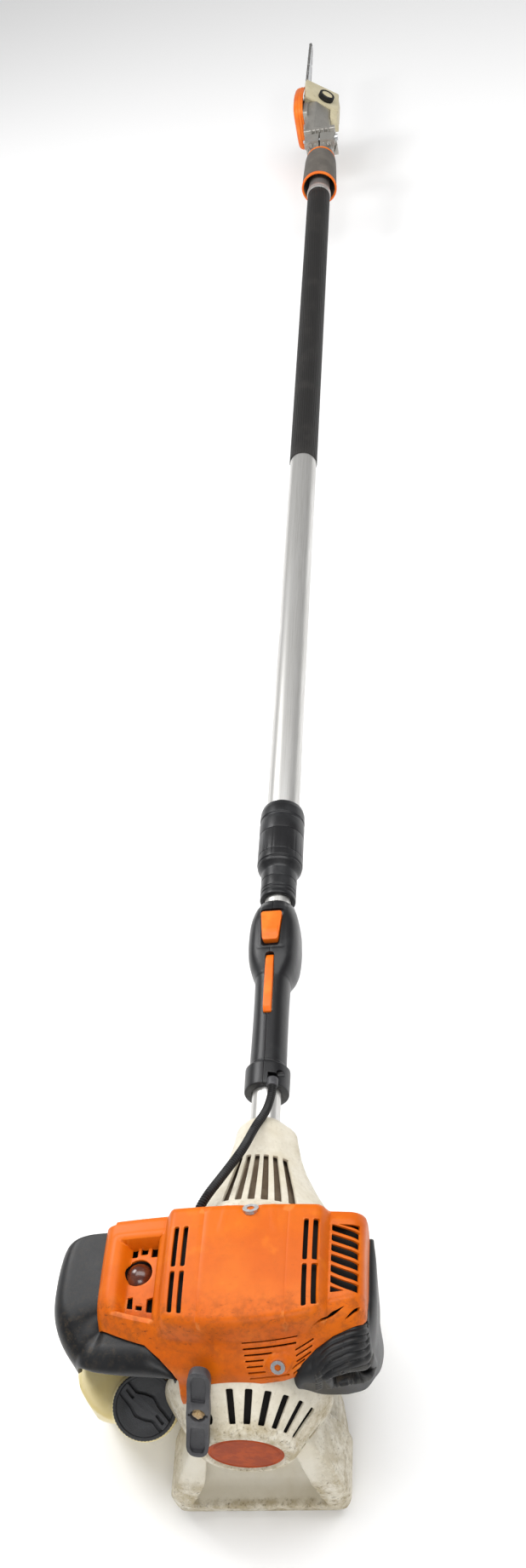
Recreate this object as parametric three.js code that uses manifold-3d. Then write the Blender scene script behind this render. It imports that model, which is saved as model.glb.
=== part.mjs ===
// Telescopic petrol pole pruner: engine, telescoping pole, control handle, and a cutting head
// with a short guide bar. Millimetres, +Z up, +Y from the engine to the cutting head,
// +X to the muffler side. The origin is the middle of the flat foot under the engine.
// The pieces are placed from the point where the cylinder's centre line meets the pole axis.

import * as THREE from 'three';
import { mergeVertices } from 'three/addons/utils/BufferGeometryUtils.js';
import Module from 'manifold-3d';

const wasm = await Module();
wasm.setup();

// ---------------------------------------------------------------- driving dimensions
const AXIS_HEIGHT = 118;         // pole axis above the ground
const CYLINDER_Y = 80;           // the cylinder stands this far ahead of the foot's centre
const GAP = 0.3;                 // clearance between neighbouring pieces
const INNER_TUBE_R = 14;
const INNER_TUBE_BORE = 12;
const OUTER_TUBE_R = 18;
const OUTER_TUBE_BORE = 16.4;
const INNER_TUBE_REAR = 120;
const INNER_TUBE_FRONT = 1950;
const OUTER_TUBE_REAR = 520;
const OUTER_TUBE_FRONT = 2125;
const NECK_FRONT = 206;          // front end of the clutch housing
const HANDLE_REAR = 240;
const HANDLE_FRONT = 462;
const COLLAR_REAR = 475;
const COLLAR_SPLIT = 562;
const COLLAR_FRONT = 603;
const HOSE_REAR = 1250;
const HOSE_FRONT = 2005;
const HOSE_R = 19;
const CUP_REAR = 2040;
const CUP_FRONT = 2135;
const GEAR_Y = 2296;             // sprocket axis, crossing the pole axis
const BAR_X = [-35.5, -32];      // both faces of the guide bar
const BAR_Z = -6;                // height of the bar's centre line
const BAR_TIP = 2636;
const BADGE_Y = -100;            // rear face of the starter badge
const FRONT_SCREW_TILT = 0.97;   // the front shroud screw points up and forward
const REAR_SCREW_TILT = Math.atan2(5.9, 7.3);   // the rear one lies square to the shroud's rear wall

// ---------------------------------------------------------------- materials
const paint = (color, roughness, metalness = 0) =>
  () => new THREE.MeshStandardMaterial({ color, roughness, metalness });
const orangePlastic = paint(0xe8741a, 0.45);
const creamPlastic = paint(0xd9d3c2, 0.55);
const tankPlastic = paint(0xd8c898, 0.5);
const blackPlastic = paint(0x26262a, 0.5);
const greyPlastic = paint(0x4a4a4c, 0.6);
const rubber = paint(0x1c1c1e, 0.8);
const steel = paint(0xb8bbc0, 0.35, 0.9);
const darkSteel = paint(0x5a5c60, 0.45, 0.8);
const aluminium = paint(0xc6c9cc, 0.35, 0.9);
const castMetal = paint(0xa2a4a6, 0.55, 0.7);
const ropeFibre = paint(0xb9a06a, 0.9);
const filterFelt = paint(0xcfc6ae, 0.95);

// ---------------------------------------------------------------- solids
function solid(geometry) {
  const bare = geometry.index ? geometry.toNonIndexed() : geometry.clone();
  bare.deleteAttribute('normal');
  bare.deleteAttribute('uv');
  const merged = mergeVertices(bare, 1e-4);
  return new wasm.Manifold(new wasm.Mesh({
    numProp: 3,
    vertProperties: new Float32Array(merged.attributes.position.array),
    triVerts: new Uint32Array(merged.index.array),
  }));
}

function geometryOf(body) {
  const mesh = body.getMesh();
  const geometry = new THREE.BufferGeometry();
  geometry.setAttribute('position', new THREE.BufferAttribute(mesh.vertProperties, 3));
  geometry.setIndex(new THREE.BufferAttribute(mesh.triVerts, 1));
  geometry.computeVertexNormals();
  return geometry;
}

function cut(base, ...tools) {
  return geometryOf(tools.reduce((left, tool) => left.subtract(solid(tool)), solid(base)));
}

function join(first, ...others) {
  return geometryOf(others.reduce((whole, next) => whole.add(solid(next)), solid(first)));
}

function common(first, ...others) {
  return geometryOf(others.reduce((whole, next) => whole.intersect(solid(next)), solid(first)));
}

// A solid of revolution about the pole axis from [radius, y] points given in order of rising y
// along the outside, then back along the inside.
function turned(profile, segments = 20) {
  const points = profile.map(([r, y]) => new THREE.Vector2(r, y));
  points.push(points[0].clone());
  const geometry = new THREE.LatheGeometry(points, segments);
  const volume = solidVolume(geometry);
  return volume < 0 ? flipped(geometry) : geometry;
}

function solidVolume(geometry) {
  const flat = geometry.index ? geometry.toNonIndexed() : geometry;
  const p = flat.attributes.position;
  const a = new THREE.Vector3();
  const b = new THREE.Vector3();
  const c = new THREE.Vector3();
  let sum = 0;
  for (let i = 0; i < p.count; i += 3) {
    a.fromBufferAttribute(p, i);
    b.fromBufferAttribute(p, i + 1);
    c.fromBufferAttribute(p, i + 2);
    sum += a.dot(b.cross(c));
  }
  return sum / 6;
}

function flipped(geometry) {
  const flat = geometry.index ? geometry.toNonIndexed() : geometry.clone();
  const p = flat.attributes.position;
  for (let i = 0; i < p.count; i += 3) {
    const x = p.getX(i + 1);
    const y = p.getY(i + 1);
    const z = p.getZ(i + 1);
    p.setXYZ(i + 1, p.getX(i + 2), p.getY(i + 2), p.getZ(i + 2));
    p.setXYZ(i + 2, x, y, z);
  }
  return flat;
}

function rod(radius, y0, y1, segments = 14) {
  return new THREE.CylinderGeometry(radius, radius, y1 - y0, segments).translate(0, (y0 + y1) / 2, 0);
}

function tube(outer, inner, y0, y1, segments = 20) {
  return turned([[outer, y0], [outer, y1], [inner, y1], [inner, y0]], segments);
}

function box(x0, x1, y0, y1, z0, z1) {
  return new THREE.BoxGeometry(x1 - x0, y1 - y0, z1 - z0)
    .translate((x0 + x1) / 2, (y0 + y1) / 2, (z0 + z1) / 2);
}

// A rod along X or Z, centred on the other two coordinates.
function rodX(radius, x0, x1, y, z, segments = 16) {
  return rod(radius, x0, x1, segments).rotateZ(-Math.PI / 2).translate(0, y, z);
}

function rodZ(radius, z0, z1, x, y, segments = 16) {
  return rod(radius, z0, z1, segments).rotateX(Math.PI / 2).translate(x, y, 0);
}

function outline(points, corner = 0) {
  const shape = new THREE.Shape();
  const count = points.length;
  points.forEach(([u, v], i) => {
    const here = new THREE.Vector2(u, v);
    const before = new THREE.Vector2(...points[(i + count - 1) % count]);
    const after = new THREE.Vector2(...points[(i + 1) % count]);
    const back = before.sub(here);
    const ahead = after.sub(here);
    const reach = Math.min(corner, back.length() * 0.45, ahead.length() * 0.45);
    const start = here.clone().add(back.setLength(reach));
    const end = here.clone().add(ahead.setLength(reach));
    if (i === 0) {
      shape.moveTo(start.x, start.y);
    } else {
      shape.lineTo(start.x, start.y);
    }
    if (reach > 0.01) {
      shape.quadraticCurveTo(here.x, here.y, end.x, end.y);
    }
  });
  shape.closePath();
  return shape;
}

// Prisms of a rounded outline: in XZ along Y, in YZ along X, and in XY along Z.
function prismY(points, y0, y1, corner = 0, steps = 2) {
  const mirrored = points.map(([x, z]) => [x, -z]).reverse();
  return new THREE.ExtrudeGeometry(outline(mirrored, corner),
    { depth: y1 - y0, bevelEnabled: false, curveSegments: steps })
    .rotateX(-Math.PI / 2).translate(0, y0, 0);
}

function prismX(points, x0, x1, corner = 0, steps = 2) {
  return new THREE.ExtrudeGeometry(outline(points, corner),
    { depth: x1 - x0, bevelEnabled: false, curveSegments: steps })
    .rotateY(Math.PI / 2).rotateX(Math.PI / 2).translate(x0, 0, 0);
}

function prismZ(points, z0, z1, corner = 0, steps = 2) {
  return new THREE.ExtrudeGeometry(outline(points, corner),
    { depth: z1 - z0, bevelEnabled: false, curveSegments: steps }).translate(0, 0, z0);
}

const tool = new THREE.Group();
tool.position.set(0, CYLINDER_Y, AXIS_HEIGHT);

function add(name, geometry, material, parent = tool) {
  const mesh = new THREE.Mesh(geometry, material());
  mesh.name = name;
  parent.add(mesh);
  return mesh;
}

// A pan-head screw along +Z with its seat at z = 0, placed at `position` and turned about X or Y.
function screw(name, position, { length, radius = 2.5, head = 5, headHeight = 3, tilt = 0, roll = 0 }) {
  const shank = rodZ(radius, -length, 0.01, 0, 0, 10);
  const pan = rodZ(head, 0, headHeight, 0, 0, 12);
  const drive = rodZ(head * 0.5, headHeight * 0.4, headHeight + 1, 0, 0, 6);
  const mesh = add(name, cut(join(shank, pan), drive), steel);
  mesh.position.set(...position);
  mesh.rotation.set(tilt, roll, 0);
  return mesh;
}

// ---------------------------------------------------------------- engine core
function makeCrankcase() {
  const body = join(rod(34, -38, 34, 24), box(-33, 33, -34, 31, 0, 40));
  const chamber = rod(26, -14, 12);
  const bore = rodZ(19, 0, 41, 0, -1);
  const bearings = rod(11, -39, 35);
  add('crankcase', cut(body, chamber, bore, bearings), castMetal);
}

function makeCylinder() {
  const pieces = [rodZ(22, 40 + GAP, 90, 0, -1, 20)];
  for (let i = 0; i < 4; i += 1) {
    const z = 46 + i * 11;
    pieces.push(box(-33, 33, -33, 31, z, z + 2.4));
  }
  const bore = rodZ(17.3, 40, 84, 0, -1, 20);
  const plugHole = rodZ(5.3, 80, 91, 0, -1);
  add('cylinder', cut(join(...pieces), bore, plugHole), castMetal);
  add('piston', cut(rodZ(17, 48, 72, 0, -1, 20), rodZ(14, 47, 68, 0, -1)), aluminium);
}

function makeSparkPlug() {
  const plug = join(rodZ(5, 78, 90.4, 0, -1, 10), rodZ(8, 90 + GAP, 95, 0, -1, 6), rodZ(4, 94, 101, 0, -1, 10));
  add('spark_plug', plug, steel);
  add('spark_plug_boot', cut(rodZ(8, 95.4, 106.5, 0, -1, 12), rodZ(4.3, 95, 102, 0, -1, 10)), rubber);
}

function makeCrankshaft() {
  const webs = [rod(22, -12, -5), rod(22, 3, 10)];
  const pin = rod(6, -6, 4, 10).translate(0, 0, 14);
  const journals = [rod(10.7, -38, -11), rod(10.7, 9, 34), rod(6, 33, 74, 12), rod(6, -60, -37, 12)];
  add('crankshaft', join(...webs, pin, ...journals), steel);
}

function makeFlywheel() {
  const disc = join(rod(46, 38, 44, 24), rod(12, 38, 54));
  const fins = [];
  for (let i = 0; i < 12; i += 1) {
    fins.push(box(20, 45, 43, 54, -1, 1).rotateY((i * Math.PI) / 6));
  }
  add('flywheel', cut(join(disc, ...fins), rod(6 + GAP, 37, 55, 12)), castMetal);
}

function makeClutch() {
  const hub = join(rod(14, 61, 73), box(-30, 30, 61, 73, -8, 8));
  const ring = common(tube(34, 22, 61, 73), join(box(-40, -10, 60, 74, -40, 40), box(10, 40, 60, 74, -40, 40)));
  add('clutch_shoes', cut(join(hub, ring), rod(6 + GAP, 60, 74, 12)), darkSteel);
  const drum = turned([[38, 60], [38, 81], [10, 81], [10, 96], [6.8, 96], [6.8, 77.5], [35.3, 77.5], [35.3, 60]]);
  add('clutch_drum', drum, darkSteel);
}

function makeClutchHousing() {
  const outside = [[76, 62.6], [76, 86], [60, 108], [48, 128], [37, 150], [31.5, 166], [27.5, 182], [25, 196],
    [17.5, NECK_FRONT]];
  const bell = [[30, 126], [72, 82], [72, 62.6]];
  const shell = turned([...outside, [INNER_TUBE_R + GAP, NECK_FRONT], [INNER_TUBE_R + GAP, 118], [20, 116], ...bell],
    24);
  // A rib down the right side carries the flare of the bell into the neck.
  const rib = prismZ([[12, 203], [24, 203], [29.5, 194], [31, 182], [35.5, 164], [42.5, 147], [51.5, 131], [59, 119],
    [74, 92], [60, 90], [30, 128], [12, 150]], -18, 16, 3, 1);
  const hollow = turned([[0, 62], [71.9, 62], [71.9, 82], [30, 125.9], [0, 126]], 24);
  const ledge = box(-23, 25, 176, 196, -31, -14);
  const slots = [];
  for (let i = -3; i <= 2; i += 1) {
    const rear = 18 + 11.6 * i;
    const fore = 10 + 8 * i;
    slots.push(prismZ([[rear - 3, 92], [rear + 3, 92], [fore + 2.1, 156], [fore - 2.1, 156]], 14, 80));
  }
  const screwHole = rodX(3.3, -30, 30, 186, -24.3, 10);
  const bore = rod(INNER_TUBE_R + GAP, 117, 220, 24);
  add('clutch_housing', cut(join(shell, cut(rib, hollow), ledge), ...slots, screwHole, bore), creamPlastic);
  const shank = rodX(3, -22, 25.4, 186, -24.3, 10);
  const head = rodX(5.5, 25 + GAP, 29, 186, -24.3, 14);
  const socket = rodX(2.6, 27, 30, 186, -24.3, 6);
  add('neck_screw', cut(join(shank, head), socket), steel);
}

// ---------------------------------------------------------------- right side
function makeMuffler() {
  const shell = prismY([[36, -8], [80, -2], [82, 50], [70, 60], [36, 60]], -34, 30, 8);
  const inside = prismY([[39, -5], [77, 0], [79, 48], [69, 57], [39, 57]], -31, 27, 6);
  const flange = box(33 + GAP, 37, -14, 12, 42, 58);
  const inlet = rodX(5, 30, 42, -1, 50, 10);
  const outlet = rodX(6, 70, 90, -22, 20, 10);
  add('muffler', cut(join(shell, flange), inside, inlet, outlet), darkSteel);
}

function makeMufflerGuard() {
  const outer = prismY([[86, 61], [113, 61], [116, 40], [112, -10], [104, -52], [80, -44], [74, -14]], -58, 56, 14);
  const inner = prismY([[70, 90], [110, 90], [113, 40], [109, -10], [101.5, -48], [82, -40.5], [77, -12], [60, 20]],
    -55, 60, 12);
  const slots = [];
  for (let i = 0; i < 4; i += 1) {
    slots.push(box(90, 130, -40 + i * 22, -28 + i * 22, 8, 42));
  }
  const exhaust = box(74, 98, -62, -50, 4, 44);
  add('muffler_guard', cut(outer, inner, ...slots, exhaust), blackPlastic);
}

// ---------------------------------------------------------------- top shroud
// The shroud's rear face seen from the side, [y, z] from the top down over the starter.
const shroudBack = [[-35.5, 112], [-35.5, 108], [-40.7, 99], [-43.6, 91.3], [-48.1, 85.6], [-55.6, 77.9],
  [-61.5, 70.6], [-64.7, 62.4], [-66.9, 54.1], [-72, 38]];

function makeShroud() {
  const outer = prismY([[-115, 62], [-115, 80], [-110, 87], [-100, 91], [-62, 95], [-52, 107], [-20, 111], [20, 111],
    [74, 107], [81, 94], [95, 91], [103, 86], [106, 78], [106, 62], [82, 62], [50, 56], [-24, 60], [-34, 52],
    [-46, 40], [-60, 62]], -76, 62, 3, 1);
  const inner = prismY([[-112, 20], [-112, 79], [-108, 84.5], [-99, 88], [-60, 92], [-50, 104], [-20, 108], [20, 108],
    [72, 104], [79, 91], [94, 88], [101, 84], [103, 77], [103, 20]], -90, 59, 3, 1);
  const behind = prismX([...shroudBack, [-95, 38], [-95, 130], [-35.5, 130]], -130, 130);
  const rearWall = prismX([...shroudBack, ...shroudBack.map(([y, z]) => [y + 3.2, z - 0.6]).reverse()], -114, 105);
  const frontHollow = box(-80, 80, 50, 70, 30, 78);
  const conduitHole = rod(6, 50, 70, 10).translate(-40, 0, 83);
  const louvres = [];
  for (let i = 0; i < 7; i += 1) {
    const front = 49 - i * 11;
    louvres.push(prismZ([[82, front + 3.5], [103, front - 5], [103, front - 9], [82, front - 0.5]], 70, 100));
  }
  for (const x of [-46.5, -38.5, 62.3, 70]) {
    louvres.push(box(x - 1.8, x + 1.8, 11, 46, 100, 120));
    louvres.push(box(x - 1.8, x + 1.8, -31, 6, 100, 120));
  }
  const bulbHole = rodZ(12.6, 60, 100, -83, 18, 16);
  const pocket = box(-104, -62, -33, 50, 72, 88);
  const pocketHollow = box(-101, -65, -30, 47, 75, 100);
  const starterRoom = turned([[0, -101], [39, -101], [42, -94.4], [60, -68], [69, -55], [69, -40], [0, -40]], 32);
  const seat = rod(8.5, -8, 3, 16).rotateX(FRONT_SCREW_TILT).translate(15, 60, 106.5);
  const spotface = rod(9.5, 0, 14, 16).rotateX(FRONT_SCREW_TILT).translate(15, 60, 106.5);
  const frontHole = rod(3.4, -20, 8, 10).rotateX(FRONT_SCREW_TILT).translate(15, 60, 106.5);
  const rearHole = rod(3.4, -12, 12, 10).rotateX(-REAR_SCREW_TILT).translate(38, -58.5, 74);
  const shell = cut(cut(outer, inner), behind);
  const whole = join(shell, common(rearWall, outer), pocket, seat);
  add('engine_shroud', cut(whole, spotface, pocketHollow, frontHollow, conduitHole, bulbHole, frontHole, rearHole,
    starterRoom, ...louvres), orangePlastic);
  screw('shroud_screw_front', [15, 60 + 0.2, 106.5 + 0.3],
    { length: 14, radius: 3, head: 7, headHeight: 3, tilt: FRONT_SCREW_TILT - Math.PI / 2 });
  screw('shroud_screw_rear', [38, -59.1, 74.4],
    { length: 12, radius: 3, head: 6, headHeight: 3, tilt: Math.PI / 2 - REAR_SCREW_TILT });
}

// ---------------------------------------------------------------- left side
function makeAirFilter() {
  const outer = prismY([[-117, 84], [-148, 80], [-159, 60], [-160, 20], [-152, -10], [-117, -16]], -46, 58, 14);
  const inner = prismY([[-110, 81], [-146, 77], [-156, 58], [-157, 21], [-150, -7], [-110, -13]], -43, 55, 12);
  const capRoom = rodZ(31, -30, 50, 0, 0, 24).applyMatrix4(capPose);
  add('air_filter_cover', cut(outer, inner, capRoom), blackPlastic);
  add('air_filter_element', box(-148, -126, -34, 44, 6, 66), filterFelt);
  const throat = rodX(12, -112, -34, 10, 50, 12);
  const bulbSeat = cut(rodZ(15, 56, 71.5, -83, 18), rodZ(12.3, 65.7, 73, -83, 18));
  const carburetor = join(box(-92, -60, -6, 26, 34, 62), throat, bulbSeat);
  add('carburetor', cut(carburetor, rodX(8, -113, -30, 10, 50, 12)), aluminium);
  const bulb = turned([[0, 0], [12, 0], [12, 8], [9, 14], [4, 17], [0, 18]], 16).rotateX(Math.PI / 2);
  const primer = add('primer_bulb', bulb, rubber);
  primer.position.set(-83, 18, 71);
  const lever = join(rod(6, 58 + GAP, 66, 12).translate(-138, 0, 44), box(-142, -134, 62, 66, 20, 46));
  add('choke_lever', lever, blackPlastic);
}

// ---------------------------------------------------------------- starter
const starterOuter = [[32.6, -97.5], [38, -98], [59, -68], [68, -55], [68, -50]];

function makeStarter() {
  const inner = [[65, -50], [65, -54], [38.8, -92], [34, -94.6], [7, -94.6], [7, -66], [4, -66],
    [4, -97.5]];
  const shell = turned([...starterOuter, ...inner], 24);
  const slots = [];
  for (let i = 0; i < 6; i += 1) {
    slots.push(box(-2.8, 2.8, -92, -69, 30, 80).rotateY(-0.07 + i * 0.267));
  }
  const eyelet = rod(4.5, 10, 40, 12).applyMatrix4(gripPose);
  const capRoom = rodZ(30, -60, 50, 0, 0, 24).applyMatrix4(capPose);
  add('starter_housing', cut(shell, ...slots, eyelet, capRoom), creamPlastic);
  add('starter_badge', turned([[0, BADGE_Y], [31, BADGE_Y], [32, -99], [32, -97.8], [0, -97.8]], 20), orangePlastic);
  const pulley = turned([[26, -76], [26, -74], [20, -73], [20, -69], [26, -68], [26, -66.5], [7 + GAP, -66.5],
    [7 + GAP, -76]]);
  add('starter_pulley', pulley, blackPlastic);
  add('rewind_spring', tube(24, 9, -88, -78), steel);
}

// The pull handle lies along the slope of the starter housing, its rope through the middle.
const gripPose = new THREE.Matrix4().makeRotationFromEuler(new THREE.Euler(-0.42, 0.17, 0))
  .setPosition(-28, -88.1, 59.2);

function makeStarterGrip() {
  const grip = new THREE.Group();
  grip.applyMatrix4(gripPose);
  tool.add(grip);
  const bar = prismX([[-5, -44], [0, -44], [2, -14], [6, 14], [3, 44], [-5, 44]], -10, 10, 4, 2);
  const panels = [box(-6.5, 6.5, -7, -3, -38, -12), box(-6.5, 6.5, -7, -3, 12, 38)];
  add('starter_grip', cut(bar, rod(2.8, -20, 10, 12), rod(6, -20, -1, 16), ...panels), greyPlastic, grip);
  add('starter_rope', join(rod(2.4, -3, 29, 10), rod(5, -4.6, -1 - GAP, 12)), ropeFibre, grip);
}

// ---------------------------------------------------------------- stand and tank
// Two hollow-backed legs and a foot plate, with a flank running forward on the muffler side.
function makeStand() {
  const legs = prismY([[-72, -118], [60, -118], [71, -108], [75, -94], [70, -58], [58, -30], [44, -10], [-44, -10], [-62, -40],
    [-75, -66], [-85, -94], [-81, -108]], -108, -52, 6);
  const flank = prismZ([[44, -56], [44, -8], [62, -8], [70, -50], [70, -56]], -118, -52, 6);
  const flankSlope = prismY([[80, -118], [70, -118], [66, -70], [56, -50], [80, -50]], -60, 0);
  const plan = prismZ([[-90, -109], [80, -109], [80, 0], [-90, 0]], -119, 0, 20);
  const scoop = prismY([[-67, -98], [57, -98], [46, -60], [36, -30], [-42, -30], [-47, -60]], -120, -70, 4);
  const back = prismY([[-60, -108], [54, -108], [40, -50], [-44, -50]], -66, -50, 6);
  const housingRoom = turned([[0, -101], [39, -101], [42, -94.4], [60, -68], [69, -55], [69, -40], [0, -40]], 32);
  const rearSlope = prismX([[-140, 20], [-72, 20], [-109, -70], [-140, -70]], -100, 100);
  const body = common(join(legs, cut(flank, flankSlope)), plan);
  add('engine_stand', cut(body, scoop, back, housingRoom, rearSlope), creamPlastic);
}

// The fuel filler leans to the rear, towards whoever stands behind the engine.
const capPose = new THREE.Matrix4().makeRotationFromEuler(new THREE.Euler(0.42, 0.2, 0))
  .setPosition(-92, -54, -12);

function makeFuelTank() {
  const side = prismY([[-161, -112], [36, -112], [36, -64], [-60, -64], [-84, -20], [-150, -20], [-163, -50]],
    -66, 46, 14);
  const plan = prismZ([[-163, 46], [36, 46], [36, -48], [-92, -48], [-92, -64], [-122, -64], [-143, -54],
    [-158, -32], [-163, -6]], -120, 0, 8);
  const hollowSide = prismY([[-157, -108], [32, -108], [32, -68], [-62, -68], [-87, -24], [-147, -24], [-159, -52]],
    -62, 42, 11);
  const hollowPlan = prismZ([[-159, 42], [32, 42], [32, -44], [-96, -44], [-96, -60], [-120, -60], [-140, -51],
    [-154, -30], [-159, -5]], -120, 0, 5);
  const undercut = prismX([[-70, 0], [-70, -14], [-64, -30], [-50, -52], [-34, -80], [-22, -113], [47, -113], [47, 0]],
    -170, 40, 8);
  const neck = rodZ(29, -50, 1, 0, 0, 24);
  const mouth = rodZ(20, -52, 4, 0, 0, 20);
  neck.applyMatrix4(capPose);
  mouth.applyMatrix4(capPose);
  const room = prismX([[-64, 0], [-64, -14], [-58, -30], [-45, -52], [-29, -80], [-17, -108], [43, -108], [43, 0]],
    -170, 40, 6);
  const tank = cut(join(common(side, plan, undercut), neck), common(hollowSide, hollowPlan, room), mouth);
  add('fuel_tank', tank, tankPlastic);
  const cap = new THREE.Group();
  cap.applyMatrix4(capPose);
  tool.add(cap);
  const disc = turned([[0, -14], [19.4, -14], [19.4, 3 + GAP], [27, 3 + GAP], [27.5, 6], [27.5, 12], [25.5, 14], [0, 14]], 20)
    .rotateX(Math.PI / 2);
  const grips = [box(-20, -4, -18, -6, 9, 20), box(4, 20, 6, 18, 9, 20)];
  add('fuel_cap', cut(disc, ...grips), blackPlastic, cap);
}

// ---------------------------------------------------------------- pole, engine end
function makeInnerTube() {
  add('inner_tube', tube(INNER_TUBE_R, INNER_TUBE_BORE, INNER_TUBE_REAR, INNER_TUBE_FRONT), aluminium);
  add('drive_shaft_rear', tube(6.5, 4.6, 80, 1750, 12), steel);
}

function ellipseRing(halfWidth, top, bottom, y, count = 20) {
  const ring = [];
  for (let i = 0; i < count; i += 1) {
    const angle = (i / count) * 2 * Math.PI;
    const height = Math.sin(angle) > 0 ? top : bottom;
    ring.push(new THREE.Vector3(halfWidth * Math.cos(angle), y, height * Math.sin(angle)));
  }
  return ring;
}

// A closed skin over rings of equal point count, in order of rising y.
function loft(rings) {
  const count = rings[0].length;
  const positions = [];
  const push = (...points) => points.forEach((p) => positions.push(p.x, p.y, p.z));
  for (let k = 0; k + 1 < rings.length; k += 1) {
    for (let i = 0; i < count; i += 1) {
      const j = (i + 1) % count;
      push(rings[k][i], rings[k + 1][i], rings[k + 1][j]);
      push(rings[k][i], rings[k + 1][j], rings[k][j]);
    }
  }
  const first = rings[0];
  const last = rings[rings.length - 1];
  const middle = (ring) => ring.reduce((sum, p) => sum.add(p), new THREE.Vector3()).divideScalar(count);
  const rear = middle(first);
  const fore = middle(last);
  for (let i = 0; i < count; i += 1) {
    const j = (i + 1) % count;
    push(rear, first[i], first[j]);
    push(fore, last[j], last[i]);
  }
  const geometry = new THREE.BufferGeometry();
  geometry.setAttribute('position', new THREE.Float32BufferAttribute(positions, 3));
  return solidVolume(geometry) < 0 ? flipped(geometry) : geometry;
}

function makeHandle() {
  const body = loft([
    ellipseRing(21.5, 21.5, 23, HANDLE_REAR), ellipseRing(21.8, 22, 24, 264), ellipseRing(18, 20, 21, 270),
    ellipseRing(17.4, 21, 21, 320), ellipseRing(17.6, 22, 22, 366), ellipseRing(22, 24, 30, 380),
    ellipseRing(26.5, 27, 36, 412), ellipseRing(25, 27, 34, 440), ellipseRing(21, 23, 26, 456),
    ellipseRing(19.5, 21, 23, HANDLE_FRONT),
  ]);
  const bore = rod(INNER_TUBE_R + GAP, 230, 470, 24);
  const lockoutSlot = box(-4.6, 4.6, 320, 392, 12, 40);
  const stopSlot = box(-11.6, 11.6, 398, 448, 22, 40);
  const triggerSlot = box(-5.5, 5.5, 296, 384, -60, -16);
  const conduitHole = rod(5.2, 230, 252, 10).translate(9, 0, 18.5);
  const screwHole = rodX(3.4, -40, 40, 425, -25, 10);
  const whole = cut(body, bore, lockoutSlot, stopSlot, triggerSlot, conduitHole, screwHole);
  add('handle_shell_left', common(whole, box(-60, -0.2, 200, 500, -80, 80)), blackPlastic);
  add('handle_shell_right', common(whole, box(0.2, 60, 200, 500, -80, 80)), blackPlastic);
  const lockout = prismX([[321, 18.4], [391, 18.4], [391, 23], [380, 26.5], [330, 25.5], [321, 22]], -4.2, 4.2, 1);
  add('trigger_lockout', lockout, orangePlastic);
  add('stop_slide', prismZ([[-8, 405], [8, 405], [11, 441], [-11, 441]], 22.4, 30.5, 3), orangePlastic);
  const trigger = prismX([[300, -32], [378, -20.5], [384, -27], [374, -33], [356, -47], [330, -51], [304, -43]],
    -5.1, 5.1, 3);
  add('throttle_trigger', trigger, blackPlastic);
  const shank = rodX(3, -24, 24.6, 425, -25, 10);
  const head = rodX(5, 24 + GAP, 27, 425, -25, 12);
  add('handle_screw', cut(join(shank, head), rodX(2.4, 25.4, 28, 425, -25, 6)), steel);
}

function makeConduit() {
  const route = new THREE.CatmullRomCurve3([
    new THREE.Vector3(9, 246, 18.8), new THREE.Vector3(9, 228, 20.5), new THREE.Vector3(6, 206, 27),
    new THREE.Vector3(-1, 182, 38), new THREE.Vector3(-8, 150, 54), new THREE.Vector3(-20, 118, 68),
    new THREE.Vector3(-31, 90, 80), new THREE.Vector3(-38, 70, 83.5), new THREE.Vector3(-40, 54, 83),
  ]);
  const section = new THREE.Shape();
  section.absarc(0, 0, 4.2, 0, 2 * Math.PI, false);
  const geometry = new THREE.ExtrudeGeometry(section,
    { steps: 20, bevelEnabled: false, extrudePath: route, curveSegments: 3 });
  add('throttle_conduit', geometry, rubber);
}

// ---------------------------------------------------------------- pole, cutting end
const front = new THREE.Group();
tool.add(front);

function makeOuterTube() {
  add('outer_tube', tube(OUTER_TUBE_R, OUTER_TUBE_BORE, OUTER_TUBE_REAR, OUTER_TUBE_FRONT), aluminium, front);
  const nut = turned([[18.5, COLLAR_REAR], [19, 477], [19, 513], [24, 518], [24.5, 522], [24.5, COLLAR_SPLIT],
    [18.3, COLLAR_SPLIT], [18.3, 518], [14.5, 516], [14.5, COLLAR_REAR]], 20);
  add('clamp_nut', nut, blackPlastic, front);
  const body = turned([[24.5, COLLAR_SPLIT + GAP], [24.5, 582], [23.6, 583], [23.6, 585], [24.5, 586], [23, 602],
    [22, COLLAR_FRONT], [18.3, COLLAR_FRONT], [18.3, COLLAR_SPLIT + GAP]], 20);
  add('clamp_body', body, blackPlastic, front);
  add('grip_hose', tube(HOSE_R, OUTER_TUBE_R + GAP, HOSE_REAR, HOSE_FRONT, 20), rubber, front);
  add('hose_ring', turned([[19.6, HOSE_FRONT + GAP], [20, 2007], [20, 2018], [19.4, 2020], [18.3, 2020],
    [18.3, HOSE_FRONT + GAP]]), aluminium, front);
}

function makeCup() {
  const cup = turned([[29.2, CUP_REAR], [28.2, 2080], [27, 2120], [26, 2133], [22, CUP_FRONT], [18.3, CUP_FRONT],
    [18.3, 2118], [23, 2116], [24.4, 2110], [26.6, CUP_REAR]], 20);
  add('protective_cup', cup, greyPlastic, front);
  add('cup_rim', turned([[29.2, 2034], [30, 2036], [29.6, CUP_REAR - GAP], [26.6, CUP_REAR - GAP], [26.6, 2034]], 20),
    orangePlastic, front);
  add('cup_washer', tube(25, 18.3, CUP_FRONT + GAP, 2139, 20), orangePlastic, front);
}

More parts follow.
